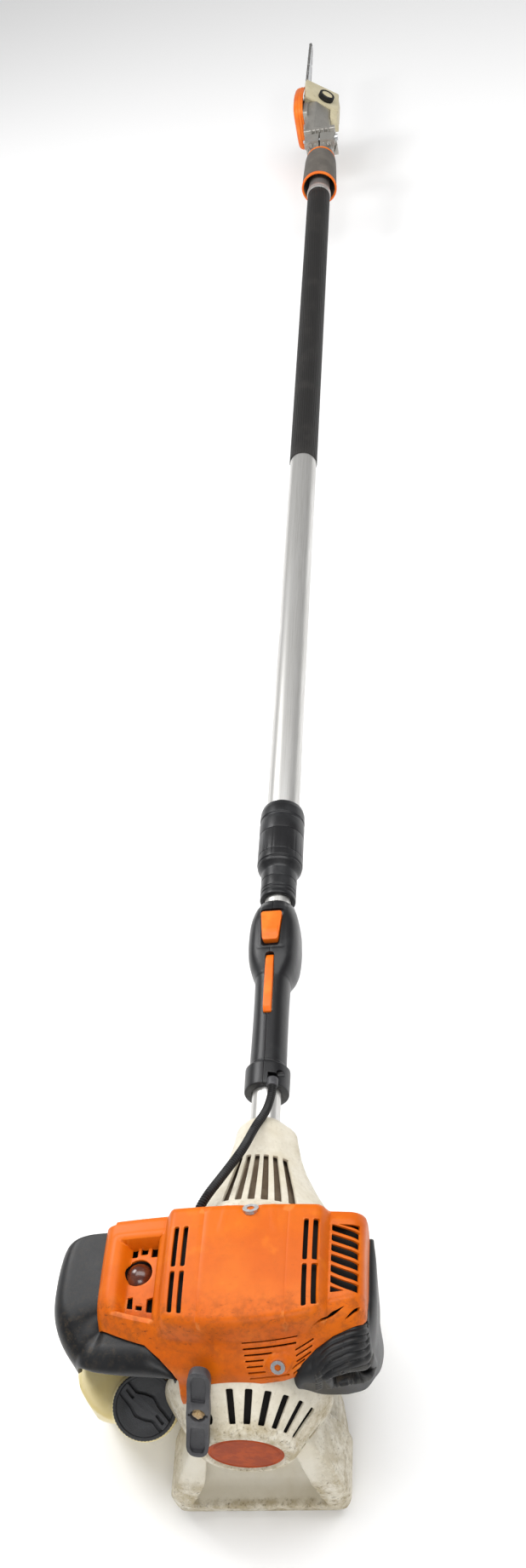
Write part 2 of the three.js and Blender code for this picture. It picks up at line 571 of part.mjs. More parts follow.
function makeGearHousing() {
  const sleeve = tube(22, 10, 2139 + GAP, 2205, 20);
  const clampEars = box(-27, 27, 2158, 2186, 12, 26);
  const shoulder = prismX([[2196, -22], [2204, -26], [2212, -26], [2212, 25], [2204, 25]], -29, 26, 1);
  const block = prismY([[-29, -26], [-29, 25], [-10, 25], [13.5, 4], [13.5, -26]], 2210, 2318, 2);
  const plate = prismX([[2262, -34], [2378, -30], [2378, 12], [2318, 12], [2310, 30], [2262, 34]], -31.4, -24, 3);
  const shaftBore = rod(9.5, 2130, 2260, 16);
  const tubeSocket = rod(18.3, 2130, 2128 + 10, 24);
  const pinionRoom = rod(10, 2255, GEAR_Y);
  const gearRoom = rodX(16.5, -24, -3, GEAR_Y, 0, 24);
  const shaftBearing = rodX(5.3, -40, 6, GEAR_Y, 0, 12);
  const clampHole = rodX(3.3, -40, 40, 2172, 21, 10);
  const studHole = rodX(4.3, -40, -20, 2342, -5, 12);
  add('gear_housing', cut(join(sleeve, clampEars, shoulder, block, plate), shaftBore, tubeSocket, pinionRoom, gearRoom,
    shaftBearing, clampHole, studHole), castMetal, front);
  const shank = rodX(3, -29, 27.5, 2172, 21, 10);
  const head = rodX(5.5, 27 + GAP, 32, 2172, 21, 12);
  add('housing_screw', cut(join(shank, head), rodX(2.6, 29, 33, 2172, 21, 6)), steel, front);
}

// Bevel gears of 8 and 14 teeth whose cones meet where the two axes cross.
function bevelGear(teeth, rootR, tipR, apex, near, far) {
  const ring = (y) => {
    const scale = (apex - y) / (apex - near);
    const points = [];
    for (let i = 0; i < teeth * 4; i += 1) {
      const r = (i % 4 < 2 ? tipR : rootR) * scale;
      const angle = ((i + (i % 2 ? -0.15 : 0.15)) / (teeth * 4)) * 2 * Math.PI;
      points.push(new THREE.Vector3(r * Math.cos(angle), y, r * Math.sin(angle)));
    }
    return points;
  };
  return loft([ring(near), ring(far)]);
}

function makeDrive() {
  add('drive_shaft_front', rod(4.2, 300, 2272 - GAP, 12), steel, front);
  const pinion = bevelGear(8, 5.6, 8.6, GEAR_Y, 2279, 2287);
  add('bevel_pinion', join(pinion, rod(5, 2272, 2280, 12)), steel, front);
  const gear = bevelGear(14, 11.4, 14.4, 0, -9.4, -5.4).rotateZ(-Math.PI / 2).translate(0, GEAR_Y, 0);
  const hub = rodX(8, -20, -9, GEAR_Y, 0, 12);
  const shaft = rodX(5, -43, -5.6, GEAR_Y, 0, 12);
  add('sprocket_shaft', join(gear, hub, shaft), steel, front);
  const teeth = [];
  for (let i = 0; i < 7; i += 1) {
    teeth.push(box(-35.6, -32.2, 0, 12.8, -2, 2).rotateX((i / 7) * 2 * Math.PI));
  }
  const sprocket = cut(join(rodX(11, -40, -32, 0, 0, 16), ...teeth), rodX(5 + GAP, -41, -31, 0, 0, 12));
  add('chain_sprocket', sprocket.translate(0, GEAR_Y, 0), darkSteel, front);
}

// A convex outline moved outwards by the same distance all round.
function grown(points, distance) {
  const count = points.length;
  return points.map((point, i) => {
    const here = new THREE.Vector2(...point);
    const before = here.clone().sub(new THREE.Vector2(...points[(i + count - 1) % count])).normalize();
    const after = new THREE.Vector2(...points[(i + 1) % count]).sub(here).normalize();
    const along = before.clone().add(after).normalize();
    const reach = distance / along.dot(before);
    return [here.x + along.y * reach, here.y - along.x * reach];
  });
}

function makeBarAndChain() {
  const edge = [[2318, 14], [2350, 15.5], [2400, 14.5], [2450, 12.5], [2530, 9], [2600, 6], [2628, 4]];
  const under = edge.map(([y, z]) => [y, -z]);
  const barOutline = [...under, [BAR_TIP, 0], ...edge.slice().reverse()];
  const centred = (points, grow) => points.map(([y, z]) => [y, z * grow + BAR_Z]);
  const bar = prismX(centred(barOutline, 1), ...BAR_X, 4);
  const slot = prismX([[2332, -9], [2366, -9], [2366, -1], [2332, -1]], -40, -28, 3.9);
  add('guide_bar', cut(bar, slot), aluminium, front);
  const sprocketSide = [[GEAR_Y, 14.6], [GEAR_Y - 10.3, 10.3], [GEAR_Y - 14.6, 0], [GEAR_Y - 10.3, -10.3],
    [GEAR_Y, -14.6], [2306, -20]];
  const lower = edge.slice(1).map(([y, z]) => [y, BAR_Z - z - 0.6]);
  const upper = edge.slice(1).map(([y, z]) => [y, BAR_Z + z + 0.6]).reverse();
  const chainInner = [...sprocketSide, ...lower, [BAR_TIP + 0.8, BAR_Z], ...upper];
  const loop = prismX(grown(chainInner, 5.4), BAR_X[0] - 0.6, BAR_X[1] + 0.3);
  add('saw_chain', cut(loop, prismX(chainInner, BAR_X[0] - 2, BAR_X[1] + 2)), darkSteel, front);
}

function makeSprocketCover() {
  const rim = [[2264, 28], [2276, 40], [2326, 41], [2378, 30], [2392, 14], [2392, -28], [2366, -43], [2300, -48],
    [2270, -42], [2264, -28]];
  const inside = rim.map(([y, z]) => [2328 + (y - 2328) * 0.956, -4 + (z + 4) * 0.935]);
  const shell = prismX(rim, -50, -31.9, 10, 3);
  const hollow = prismX(inside, -47.4, -30, 8, 3);
  const barExit = box(-40, -30, 2380, 2400, -34, 24);
  const plateRoom = prismX([[2258, -38], [2382, -34], [2382, 32], [2258, 38]], -31.7, -20);
  const studHole = rodX(4.6, -60, -30, 2342, -5, 12);
  const boss = rodX(13, -48, -38, 2342, -5, 20);
  const pocket = rodX(10.4, -60, -43.5, 2342, -5, 16);
  add('sprocket_cover', cut(join(cut(shell, hollow, barExit), boss), plateRoom, studHole, pocket), orangePlastic, front);
  add('bar_stud', rodX(4, -48.5, -25, 2342, -5, 12), steel, front);
  add('cover_nut', cut(rodX(8, -49.5, -43.5 - GAP, 2342, -5, 6), rodX(4.3, -62, -40, 2342, -5, 12)), steel, front);
}

function makeOilTank() {
  const bodyOutline = [[-22, -26], [-22, 32.9], [25.5, 0.5], [25.5, -26]];
  const shoulderOutline = [[-31.1, 12.9], [-31.1, 33.5], [-27, 36.3], [-15, 28.1], [-15, 12.9]];
  const flankOutline = [[13.9, -22], [13.9, 8.4], [25.5, 0.5], [25.5, -22]];
  const shoulder = prismY(shoulderOutline, 2320, 2386, 2);
  const flank = prismY(flankOutline, 2284, 2330, 1.5);
  const outer = join(prismY(bodyOutline, 2320, 2386, 3, 3), shoulder, flank);
  const roomOutline = [[-19, -23], [-19, 27.2], [22.5, -1.1], [22.5, -23]];
  const hollow = prismY(roomOutline, 2323, 2383, 3, 3);
  const pose = new THREE.Matrix4().makeRotationFromEuler(new THREE.Euler(0, 0.599, 0)).setPosition(-1.8, 2342, 6.2);
  const neck = rodZ(12, -6, 11, 0, 0, 20).applyMatrix4(pose);
  const mouth = rodZ(9, -14, 13, 0, 0, 16).applyMatrix4(pose);
  add('oil_tank', cut(join(outer, neck), hollow, mouth), tankPlastic, front);
  const cap = new THREE.Group();
  cap.applyMatrix4(pose);
  front.add(cap);
  const knob = turned([[0, -1], [8.5, -1], [8.5, 11 + GAP], [13, 11 + GAP], [14, 13], [14, 21], [12.5, 22], [0, 22]], 20)
    .rotateX(Math.PI / 2);
  add('oil_cap', cut(knob, box(-9, 9, -2.5, 2.5, 19, 24)), blackPlastic, cap);
}

makeCrankcase();
makeCylinder();
makeSparkPlug();
makeCrankshaft();
makeFlywheel();
makeClutch();
makeClutchHousing();
makeMuffler();
makeMufflerGuard();
makeShroud();
makeAirFilter();
makeStarter();
makeStarterGrip();
makeStand();
makeFuelTank();
makeInnerTube();
makeHandle();
makeConduit();
makeOuterTube();
makeCup();
makeGearHousing();
makeDrive();
makeBarAndChain();
makeSprocketCover();
makeOilTank();

export default tool;
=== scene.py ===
"""Telescopic petrol pole pruner on a pale studio floor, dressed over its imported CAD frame."""

import math

import bmesh
import bpy
import numpy as np
from mathutils import Euler, Matrix, Vector
from mathutils.geometry import delaunay_2d_cdt


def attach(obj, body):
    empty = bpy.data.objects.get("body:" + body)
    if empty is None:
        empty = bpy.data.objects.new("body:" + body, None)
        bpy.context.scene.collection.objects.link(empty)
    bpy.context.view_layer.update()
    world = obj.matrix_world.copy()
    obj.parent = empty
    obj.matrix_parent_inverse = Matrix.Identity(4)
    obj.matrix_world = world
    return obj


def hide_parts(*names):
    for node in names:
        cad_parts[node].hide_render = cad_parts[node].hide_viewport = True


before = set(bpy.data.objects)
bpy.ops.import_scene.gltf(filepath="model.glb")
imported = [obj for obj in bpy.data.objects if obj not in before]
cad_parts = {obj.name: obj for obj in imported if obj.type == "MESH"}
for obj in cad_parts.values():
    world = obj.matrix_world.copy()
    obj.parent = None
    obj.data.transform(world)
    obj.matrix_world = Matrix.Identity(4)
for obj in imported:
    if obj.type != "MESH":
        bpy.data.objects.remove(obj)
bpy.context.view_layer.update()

MM = 0.001
TINY = 1e-9            # keeps a division by a zero length from failing
FAR = 1e9
AXIS_HEIGHT = 118      # pole axis above the ground, mm
CYLINDER_Y = 80        # the cylinder stands this far ahead of the foot's centre, mm
ORIGIN = np.array([0.0, CYLINDER_Y, AXIS_HEIGHT])


# Points are given in mm from the pole axis at the cylinder, and stored in metres in the frame.
def to_frame(points):
    return (np.asarray(points, float) + ORIGIN) * MM


def added(name, data):
    """A new object in the scene."""
    piece = bpy.data.objects.new(name, data)
    bpy.context.collection.objects.link(piece)
    return piece


def ramp(a, b, x):
    """Smooth rise from 0 at a to 1 at b."""
    t = np.clip((np.asarray(x, float) - a) / (b - a), 0, 1)
    return t * t * (3 - 2 * t)


# ---------------------------------------------------------------- camera, floor and light
def make_camera():
    data = bpy.data.cameras.new("camera")
    data.sensor_width = 36
    data.lens = 37.15
    data.clip_end = 20
    camera = added("camera", data)
    camera.location = (0.2795, -0.5135, 1.4330)
    camera.rotation_euler = Euler((math.radians(43.246), math.radians(10.299), math.radians(3.012)))
    bpy.context.scene.camera = camera


def make_area_light(name, location, target, size, power):
    data = bpy.data.lights.new(name, "AREA")
    data.shape = "RECTANGLE"
    data.size, data.size_y = size
    data.energy = power
    lamp = added(name, data)
    lamp.location = location
    lamp.rotation_euler = (Vector(target) - Vector(location)).to_track_quat("-Z", "Y").to_euler()


def make_studio():
    world = bpy.data.worlds.new("studio")
    world.use_nodes = True
    world.node_tree.nodes["Background"].inputs["Color"].default_value = (1, 1, 1, 1)
    world.node_tree.nodes["Background"].inputs["Strength"].default_value = 0.42
    bpy.context.scene.world = world
    bpy.context.scene.view_settings.view_transform = "Standard"
    mesh = bpy.data.meshes.new("floor")
    mesh.from_pydata([(-8, -8, 0), (8, -8, 0), (8, 10, 0), (-8, 10, 0)], [], [(0, 1, 2, 3)])
    material = bpy.data.materials.new("floor_white")
    material.use_nodes = True
    shader = material.node_tree.nodes["Principled BSDF"]
    shader.inputs["Base Color"].default_value = (0.95, 0.95, 0.95, 1)
    shader.inputs["Roughness"].default_value = 0.9
    mesh.materials.append(material)
    added("floor", mesh)
    make_area_light("overhead", (0.4, 0.9, 2.6), (0, 0.9, 0), (1.6, 3.4), 70)
    make_area_light("behind", (0.3, -1.6, 1.7), (0, 0, 0.1), (1.2, 0.8), 17)
    make_area_light("front_left", (-1.6, 1.6, 1.8), (0, 0.1, 0.1), (1.0, 1.0), 34)


# ---------------------------------------------------------------- materials
def srgb(code):
    """Linear colour from a hex code."""
    parts = [int(code[i:i + 2], 16) / 255 for i in (0, 2, 4)]
    return tuple(c / 12.92 if c < 0.04045 else ((c + 0.055) / 1.055) ** 2.4 for c in parts) + (1.0,)


# The Mix node's sockets: what lies below, what is laid over it, and the result.
MIX_COLOUR = (6, 7, 2)
MIX_NUMBER = (2, 3, 0)


class Surface:
    """A Principled material whose colour, roughness and relief are built up from layers."""

    def __init__(self, name, colour, roughness, metallic=0.0):
        self.material = bpy.data.materials.new(name)
        self.material.use_nodes = True
        self.nodes = self.material.node_tree.nodes
        self.links = self.material.node_tree.links
        self.shader = self.nodes["Principled BSDF"]
        self.shader.inputs["Metallic"].default_value = metallic
        self.shader.inputs["Base Color"].default_value = srgb(colour)
        self.shader.inputs["Roughness"].default_value = roughness
        self.normal_from = None
        self.where = self.nodes.new("ShaderNodeTexCoord").outputs["Object"]

    def noise(self, size_mm, detail=4.0, roughness=0.55, stretch=(1, 1, 1)):
        """Noise whose features are about size_mm across, longer where stretch is over 1."""
        node = self.nodes.new("ShaderNodeTexNoise")
        node.inputs["Scale"].default_value = 1.0
        node.inputs["Detail"].default_value = detail
        node.inputs["Roughness"].default_value = roughness
        mapping = self.nodes.new("ShaderNodeMapping")
        mapping.inputs["Scale"].default_value = [1 / (size_mm * MM * s) for s in stretch]
        self.links.new(self.where, mapping.inputs["Vector"])
        self.links.new(mapping.outputs["Vector"], node.inputs["Vector"])
        return node.outputs["Fac"]

    def band(self, value, low, high):
        """0 below low, 1 above high, or the other way round when low is over high."""
        node = self.nodes.new("ShaderNodeMapRange")
        node.interpolation_type = "SMOOTHSTEP"
        node.inputs["From Min"].default_value = min(low, high)
        node.inputs["From Max"].default_value = max(low, high)
        node.inputs["To Min"].default_value = 0.0 if low < high else 1.0
        node.inputs["To Max"].default_value = 1.0 if low < high else 0.0
        self.links.new(value, node.inputs["Value"])
        return node.outputs["Result"]

    def patches(self, low, high, *noise):
        """Soft patches: where the noise lies between low and high is their edge."""
        return self.band(self.noise(*noise), low, high)

    def times(self, mask, factor):
        """A mask times a number or another mask."""
        node = self.nodes.new("ShaderNodeMath")
        node.operation = "MULTIPLY"
        node.use_clamp = True
        self.links.new(mask, node.inputs[0])
        if isinstance(factor, float):
            node.inputs[1].default_value = factor
        else:
            self.links.new(factor, node.inputs[1])
        return node.outputs[0]

    def grimy(self, mask):
        """The mask, kept only where the mesh is marked as dirty."""
        node = self.nodes.new("ShaderNodeAttribute")
        node.attribute_name = "grime"
        return self.times(node.outputs["Fac"], mask)

    def bent(self, low, high):
        """Sharp corners where low is under high, hollows where it is over it."""
        node = self.nodes.new("ShaderNodeNewGeometry")
        return self.band(node.outputs["Pointiness"], low, high)

    def worn_edges(self, low=0.53, high=0.6):
        return self.bent(low, high)

    def hollows(self):
        return self.bent(0.49, 0.42)

    def tint(self, colour, mask, amount=1.0, roughness=None):
        """Lays a colour over what is there, and a roughness with it."""
        mask = self.times(mask, float(amount))
        self.over("Base Color", "RGBA", MIX_COLOUR, mask, srgb(colour))
        if roughness is not None:
            self.over("Roughness", "FLOAT", MIX_NUMBER, mask, roughness)

    def over(self, name, kind, sockets, mask, value):
        """Mixes a value over what the shader's socket has now."""
        below, above, result = sockets
        socket = self.shader.inputs[name]
        mix = self.nodes.new("ShaderNodeMix")
        mix.data_type = kind
        self.links.new(mask, mix.inputs[0])
        if socket.is_linked:
            self.links.new(socket.links[0].from_socket, mix.inputs[below])
        else:
            mix.inputs[below].default_value = socket.default_value
        mix.inputs[above].default_value = value
        self.links.new(mix.outputs[result], socket)

    def relief(self, height, depth_mm):
        bump = self.nodes.new("ShaderNodeBump")
        bump.inputs["Strength"].default_value = 1.0
        bump.inputs["Distance"].default_value = depth_mm * MM
        self.links.new(height, bump.inputs["Height"])
        if self.normal_from:
            self.links.new(self.normal_from, bump.inputs["Normal"])
        self.normal_from = bump.outputs["Normal"]
        self.links.new(self.normal_from, self.shader.inputs["Normal"])


def orange_moulding():
    s = Surface("orange_moulding", "cd6206", 0.38)
    s.shader.inputs["Specular IOR Level"].default_value = 0.2
    s.tint("bf5203", s.patches(0.4, 0.65, 60), 0.6, 0.46)
    s.tint("db7510", s.patches(0.55, 0.75, 22), 0.4)
    s.tint("8a4416", s.grimy(s.patches(0.42, 0.66, 9, 8, 0.7)), 0.6, 0.6)
    s.tint("3a2010", s.grimy(s.patches(0.58, 0.7, 3.2, 6, 0.75, (2.5, 1, 1))), 0.75, 0.7)
    s.tint("4a2a14", s.patches(0.7, 0.78, 2.6, 5, 0.8, (4, 1, 1)), 0.7)
    s.tint("6a3410", s.hollows(), 0.6, 0.6)
    s.tint("f09a50", s.worn_edges(0.56, 0.66), 0.25)
    s.relief(s.noise(0.9, 3), 0.05)
    s.relief(s.noise(7, 6, 0.7, (5, 1, 1)), 0.12)
    return s.material


def cream_moulding():
    s = Surface("cream_moulding", "d8d2c2", 0.42)
    s.tint("c9bfa6", s.patches(0.42, 0.7, 45), 0.6, 0.5)
    s.tint("a39472", s.grimy(s.patches(0.35, 0.62, 14, 8, 0.7)), 0.85, 0.65)
    s.tint("5f5138", s.grimy(s.patches(0.52, 0.66, 3.4, 8, 0.75)), 0.75, 0.75)
    s.tint("6b5c42", s.patches(0.69, 0.76, 2.4, 4, 0.8), 0.75)
    s.tint("7d6c4c", s.hollows(), 0.55, 0.65)
    s.relief(s.noise(0.8, 3), 0.04)
    s.relief(s.noise(6, 5, 0.7), 0.12)
    return s.material


def black_moulding():
    s = Surface("black_moulding", "131416", 0.38)
    s.shader.inputs["Specular IOR Level"].default_value = 0.3
    s.tint("1f2022", s.patches(0.42, 0.66, 38), 0.5, 0.52)
    s.tint("3f3e3c", s.patches(0.64, 0.76, 5, 6, 0.75, (1, 3, 1)), 0.4, 0.6)
    s.tint("5d4f3d", s.grimy(s.patches(0.46, 0.68, 6, 8, 0.75)), 0.5, 0.7)
    s.tint("66645f", s.worn_edges(), 0.35, 0.6)
    s.relief(s.noise(0.9, 3), 0.07)
    s.relief(s.noise(9, 5, 0.7), 0.12)
    return s.material


def plain_moulding(name, colour, light, dark, roughness, grain=0.05, scuffs=0.4):
    """Moulded plastic or rubber with soft patches, scuffs along its edges and a fine grain."""
    s = Surface(name, colour, roughness)
    s.shader.inputs["Specular IOR Level"].default_value = 0.35
    s.tint(light, s.patches(0.45, 0.68, 30), 0.6, min(1, roughness + 0.08))
    s.tint(dark, s.patches(0.58, 0.72, 9, 6, 0.7), 0.5)
    s.tint(light, s.patches(0.68, 0.76, 2.2, 5, 0.8, (3, 1, 1)), scuffs, min(1, roughness + 0.2))
    s.tint(light, s.worn_edges(), scuffs, min(1, roughness + 0.15))
    s.relief(s.noise(0.8, 3), grain)
    s.relief(s.noise(8, 5, 0.7), 2 * grain)
    return s.material


def tank_moulding():
    s = Surface("tank_moulding", "d9c88e", 0.34)
    s.shader.inputs["Subsurface Weight"].default_value = 0.15
    s.shader.inputs["Subsurface Radius"].default_value = (0.006, 0.005, 0.003)
    s.tint("e8dcae", s.patches(0.4, 0.65, 50), 0.6)
    s.tint("a08a58", s.patches(0.6, 0.72, 17, 8, 0.7), 0.5, 0.55)
    s.tint("5c4a2c", s.patches(0.66, 0.74, 2.6, 6, 0.85), 0.8, 0.7)
    s.tint("7d6a46", s.hollows(), 0.5, 0.6)
    s.relief(s.noise(1.0, 3), 0.04)
    return s.material


def bulb_rubber():
    s = Surface("bulb_rubber", "4a2013", 0.22)
    s.shader.inputs["Subsurface Weight"].default_value = 0.4
    s.shader.inputs["Subsurface Radius"].default_value = (0.008, 0.003, 0.001)
    s.shader.inputs["Coat Weight"].default_value = 0.3
    s.tint("6b3a24", s.patches(0.45, 0.65, 7), 0.6)
    s.tint("24100a", s.patches(0.64, 0.72, 1.8, 5, 0.8), 0.7, 0.6)
    s.relief(s.noise(1.5, 4), 0.05)
    return s.material


def badge_moulding():
    s = Surface("badge_moulding", "a8440f", 0.6)
    s.shader.inputs["Specular IOR Level"].default_value = 0.2
    s.tint("8a3410", s.patches(0.42, 0.62, 14), 0.8)
    s.tint("6b3a26", s.patches(0.55, 0.68, 4, 8, 0.75, (2, 1, 1)), 0.6, 0.7)
    s.tint("3a2a1e", s.patches(0.66, 0.74, 2.2, 6, 0.8), 0.6)
    s.tint("4a2c1c", s.hollows(), 0.8, 0.75)
    s.relief(s.noise(2.4, 5, 0.7), 0.15)
    return s.material


def tube_metal():
    s = Surface("tube_metal", "c9c8c5", 0.33, 0.8)
    s.tint("b2b0ac", s.patches(0.4, 0.66, 1.4, 5, 0.65, (1, 60, 1)), 0.7, 0.42)
    s.tint("dddcda", s.patches(0.5, 0.7, 26, 4, 0.6, (1, 9, 1)), 0.5, 0.28)
    s.tint("6d6a66", s.patches(0.7, 0.77, 1.1, 5, 0.8, (1, 6, 1)), 0.6, 0.6)
    s.relief(s.noise(0.9, 4, 0.6, (1, 50, 1)), 0.03)
    return s.material


def cast_alloy():
    s = Surface("cast_alloy", "9a9791", 0.5, 0.75)
    s.tint("b9b6af", s.patches(0.45, 0.65, 18), 0.6, 0.42)
    s.tint("5e5a52", s.patches(0.52, 0.68, 4, 7, 0.75), 0.7, 0.65)
    s.tint("5e5a52", s.hollows(), 0.8, 0.7)
    s.tint("b9b6af", s.worn_edges(), 0.6, 0.38)
    s.relief(s.noise(0.7, 4), 0.12)
    return s.material


def turned_steel(name, colour, light, dark, roughness):
    s = Surface(name, colour, roughness, 0.95)
    s.tint(light, s.patches(0.45, 0.65, 3, 4, 0.6, (1, 8, 1)), 0.6)
    s.tint(dark, s.patches(0.6, 0.72, 2.0, 7, 0.8), 0.6, roughness + 0.25)
    s.tint(dark, s.hollows(), 0.7, roughness + 0.25)
    s.relief(s.noise(0.5, 4, 0.6, (1, 10, 1)), 0.03)
    return s.material


def fibre(name, colour, light, dark, strand_mm):
    s = Surface(name, colour, 0.9)
    s.shader.inputs["Sheen Weight"].default_value = 0.3
    s.tint(light, s.patches(0.5, 0.62, strand_mm, 5, 0.7, (1, 3, 1)), 0.8)
    s.tint(dark, s.patches(0.55, 0.66, strand_mm * 1.6, 6, 0.75), 0.8)
    s.relief(s.noise(strand_mm, 4, 0.6, (1, 3, 1)), 0.3)
    return s.material


# ---------------------------------------------------------------- meshes
def shaped(name, mesh, material, body, nodes=(), wall=0, bevel=0, segments=2, smooth=38, limit=50):
    """Puts a mesh in the scene as a finished piece: wall thickness, softened edges, then its place."""
    piece = added(name, mesh)
    if wall:
        solidify = piece.modifiers.new("wall", "SOLIDIFY")
        solidify.thickness = wall * MM
        solidify.offset = -1
    if bevel:
        edge = piece.modifiers.new("edge", "BEVEL")
        edge.width = bevel * MM
        edge.segments = segments
        edge.limit_method = "ANGLE"
        edge.angle_limit = math.radians(limit)
        edge.use_clamp_overlap = True
    if wall or bevel:
        settle(piece)
    piece.data.name = name
    piece.data.shade_smooth()
    piece.data.set_sharp_from_angle(angle=math.radians(smooth))
    piece.data.materials.clear()
    piece.data.materials.append(material)
    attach(piece, body)
    if nodes:
        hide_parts(*nodes)
    return piece


def settle(piece):
    """Turns a piece's modifiers into its own mesh."""
    bpy.context.view_layer.update()
    graph = bpy.context.evaluated_depsgraph_get()
    mesh = bpy.data.meshes.new_from_object(piece.evaluated_get(graph))
    old = piece.data
    piece.modifiers.clear()
    piece.data = mesh
    bpy.data.meshes.remove(old)


def mesh_of(points, faces):
    mesh = bpy.data.meshes.new("mesh")
    mesh.from_pydata([tuple(p) for p in to_frame(points)], [], faces)
    mesh.update()
    return mesh


def mark_grime(mesh, values):
    """Stores how dirty each point of a mesh is, from 0 to 1."""
    layer = mesh.attributes.new("grime", "FLOAT", "POINT")
    layer.data.foreach_set("value", np.asarray(values, np.float32))


# ---------------------------------------------------------------- lines
def between(a, b, c, d, t):
    """The smooth line from b to c, at t from 0 to 1, with a before it and d after it."""
    return 0.5 * (2 * b + (c - a) * t + (2 * a - 5 * b + 4 * c - d) * t ** 2
                  + (3 * b - a - 3 * c + d) * t ** 3)


def extended(rows):
    """The rows with one more at each end, in line with the last two."""
    rows = np.asarray(rows, float)
    return np.vstack([2 * rows[0] - rows[1], rows, 2 * rows[-1] - rows[-2]])


def spline(rows, count):
    """Smooth rows of numbers through the given ones, evenly spread."""
    padded = extended(rows)
    result = []
    for x in np.linspace(0, len(rows) - 1, count):
        i = min(int(x), len(rows) - 2)
        result.append(between(*padded[i:i + 4], x - i))
    return np.array(result)


def travel(line):
    """The distance along a line at each of its points."""
    return np.concatenate([[0], np.cumsum(np.linalg.norm(np.diff(line, axis=0), axis=1))])


# A skin is a sheet drawn flat in (u, s), with holes and pressed steps, and then laid on a surface.
def inside(points, loop):
    """Which points lie within a loop."""
    hit = np.zeros(len(points), bool)
    near = ((points >= loop.min(0)) & (points <= loop.max(0))).all(1)
    p = points[near]
    odd = np.zeros(len(p), bool)
    for a, b in zip(loop, np.roll(loop, -1, 0)):
        across = (a[1] > p[:, 1]) != (b[1] > p[:, 1])
        if across.any():
            odd ^= across & (p[:, 0] < (b[0] - a[0]) * (p[:, 1] - a[1]) / (b[1] - a[1] + 1e-12) + a[0])
    hit[near] = odd
    return hit


def edge_distance(points, loop, reach):
    """The distance of each point to a loop, or FAR where that is surely over reach."""
    far = np.full(len(points), FAR)
    near = ((points >= loop.min(0) - reach) & (points <= loop.max(0) + reach)).all(1)
    p = points[near]
    best = np.full(len(p), FAR)
    for a, b in zip(loop, np.roll(loop, -1, 0)):
        ab = b - a
        t = np.clip(((p - a) @ ab) / (ab @ ab + 1e-12), 0, 1)
        best = np.minimum(best, np.linalg.norm(p - a - t[:, None] * ab, axis=1))
    far[near] = best
    return far


def resampled(loop, spacing):
    points = []
    for a, b in zip(loop, np.roll(loop, -1, 0)):
        count = max(1, round(np.linalg.norm(b - a) / spacing))
        points += [a + (b - a) * i / count for i in range(count)]
    return np.array(points)


def softened(before, corner, after, radius, steps):
    """The points of one soft corner, never longer than 45% of the lines that meet there."""
    ends = []
    for run in (before - corner, after - corner):
        length = np.linalg.norm(run)
        ends.append(corner + run / (length + TINY) * min(radius, 0.45 * length))
    start, end = ends
    places = [i / steps for i in range(steps + 1)]
    return [(1 - t) ** 2 * start + 2 * t * (1 - t) * corner + t * t * end for t in places]


def rounded(loop, radius, steps=3):
    """The corners of a loop, softened by one radius, or by one for each corner."""
    loop = np.asarray(loop, float)
    radii = np.broadcast_to(radius, len(loop))
    corners = zip(np.roll(loop, 1, 0), loop, np.roll(loop, -1, 0), radii)
    return np.array([point for corner in corners for point in softened(*corner, steps)])


def rounded_line(points, radius):
    """An open line with its corners softened."""
    points = np.asarray(points, float)
    line = [points[0]]
    for corner in zip(points, points[1:], points[2:]):
        line += softened(*corner, radius, 4)
    return np.array([*line, points[-1]])


def quad(u0, u1, s0, s1, radius=1.0):
    """A box between two values of u and two of s, with soft corners."""
    return rounded([(u0, s0), (u1, s0), (u1, s1), (u0, s1)], radius)


def around(count):
    """That many angles, evenly round the circle."""
    return np.arange(count) * 2 * math.pi / count


def disc(u, s, radius, count=24):
    angles = around(count)
    return np.stack([u + radius * np.cos(angles), s + radius * np.sin(angles)], 1)


def shrunk(loop, inset):
    """A convex loop moved inwards by inset."""
    centre = loop.mean(0)
    moved = []
    for before, corner, after in zip(np.roll(loop, 1, 0), loop, np.roll(loop, -1, 0)):
        along = (after - before) / (np.linalg.norm(after - before) + TINY)
        normal = np.array([-along[1], along[0]])
        if normal @ (centre - corner) < 0:
            normal = -normal
        moved.append(corner + normal * inset)
    return np.array(moved)


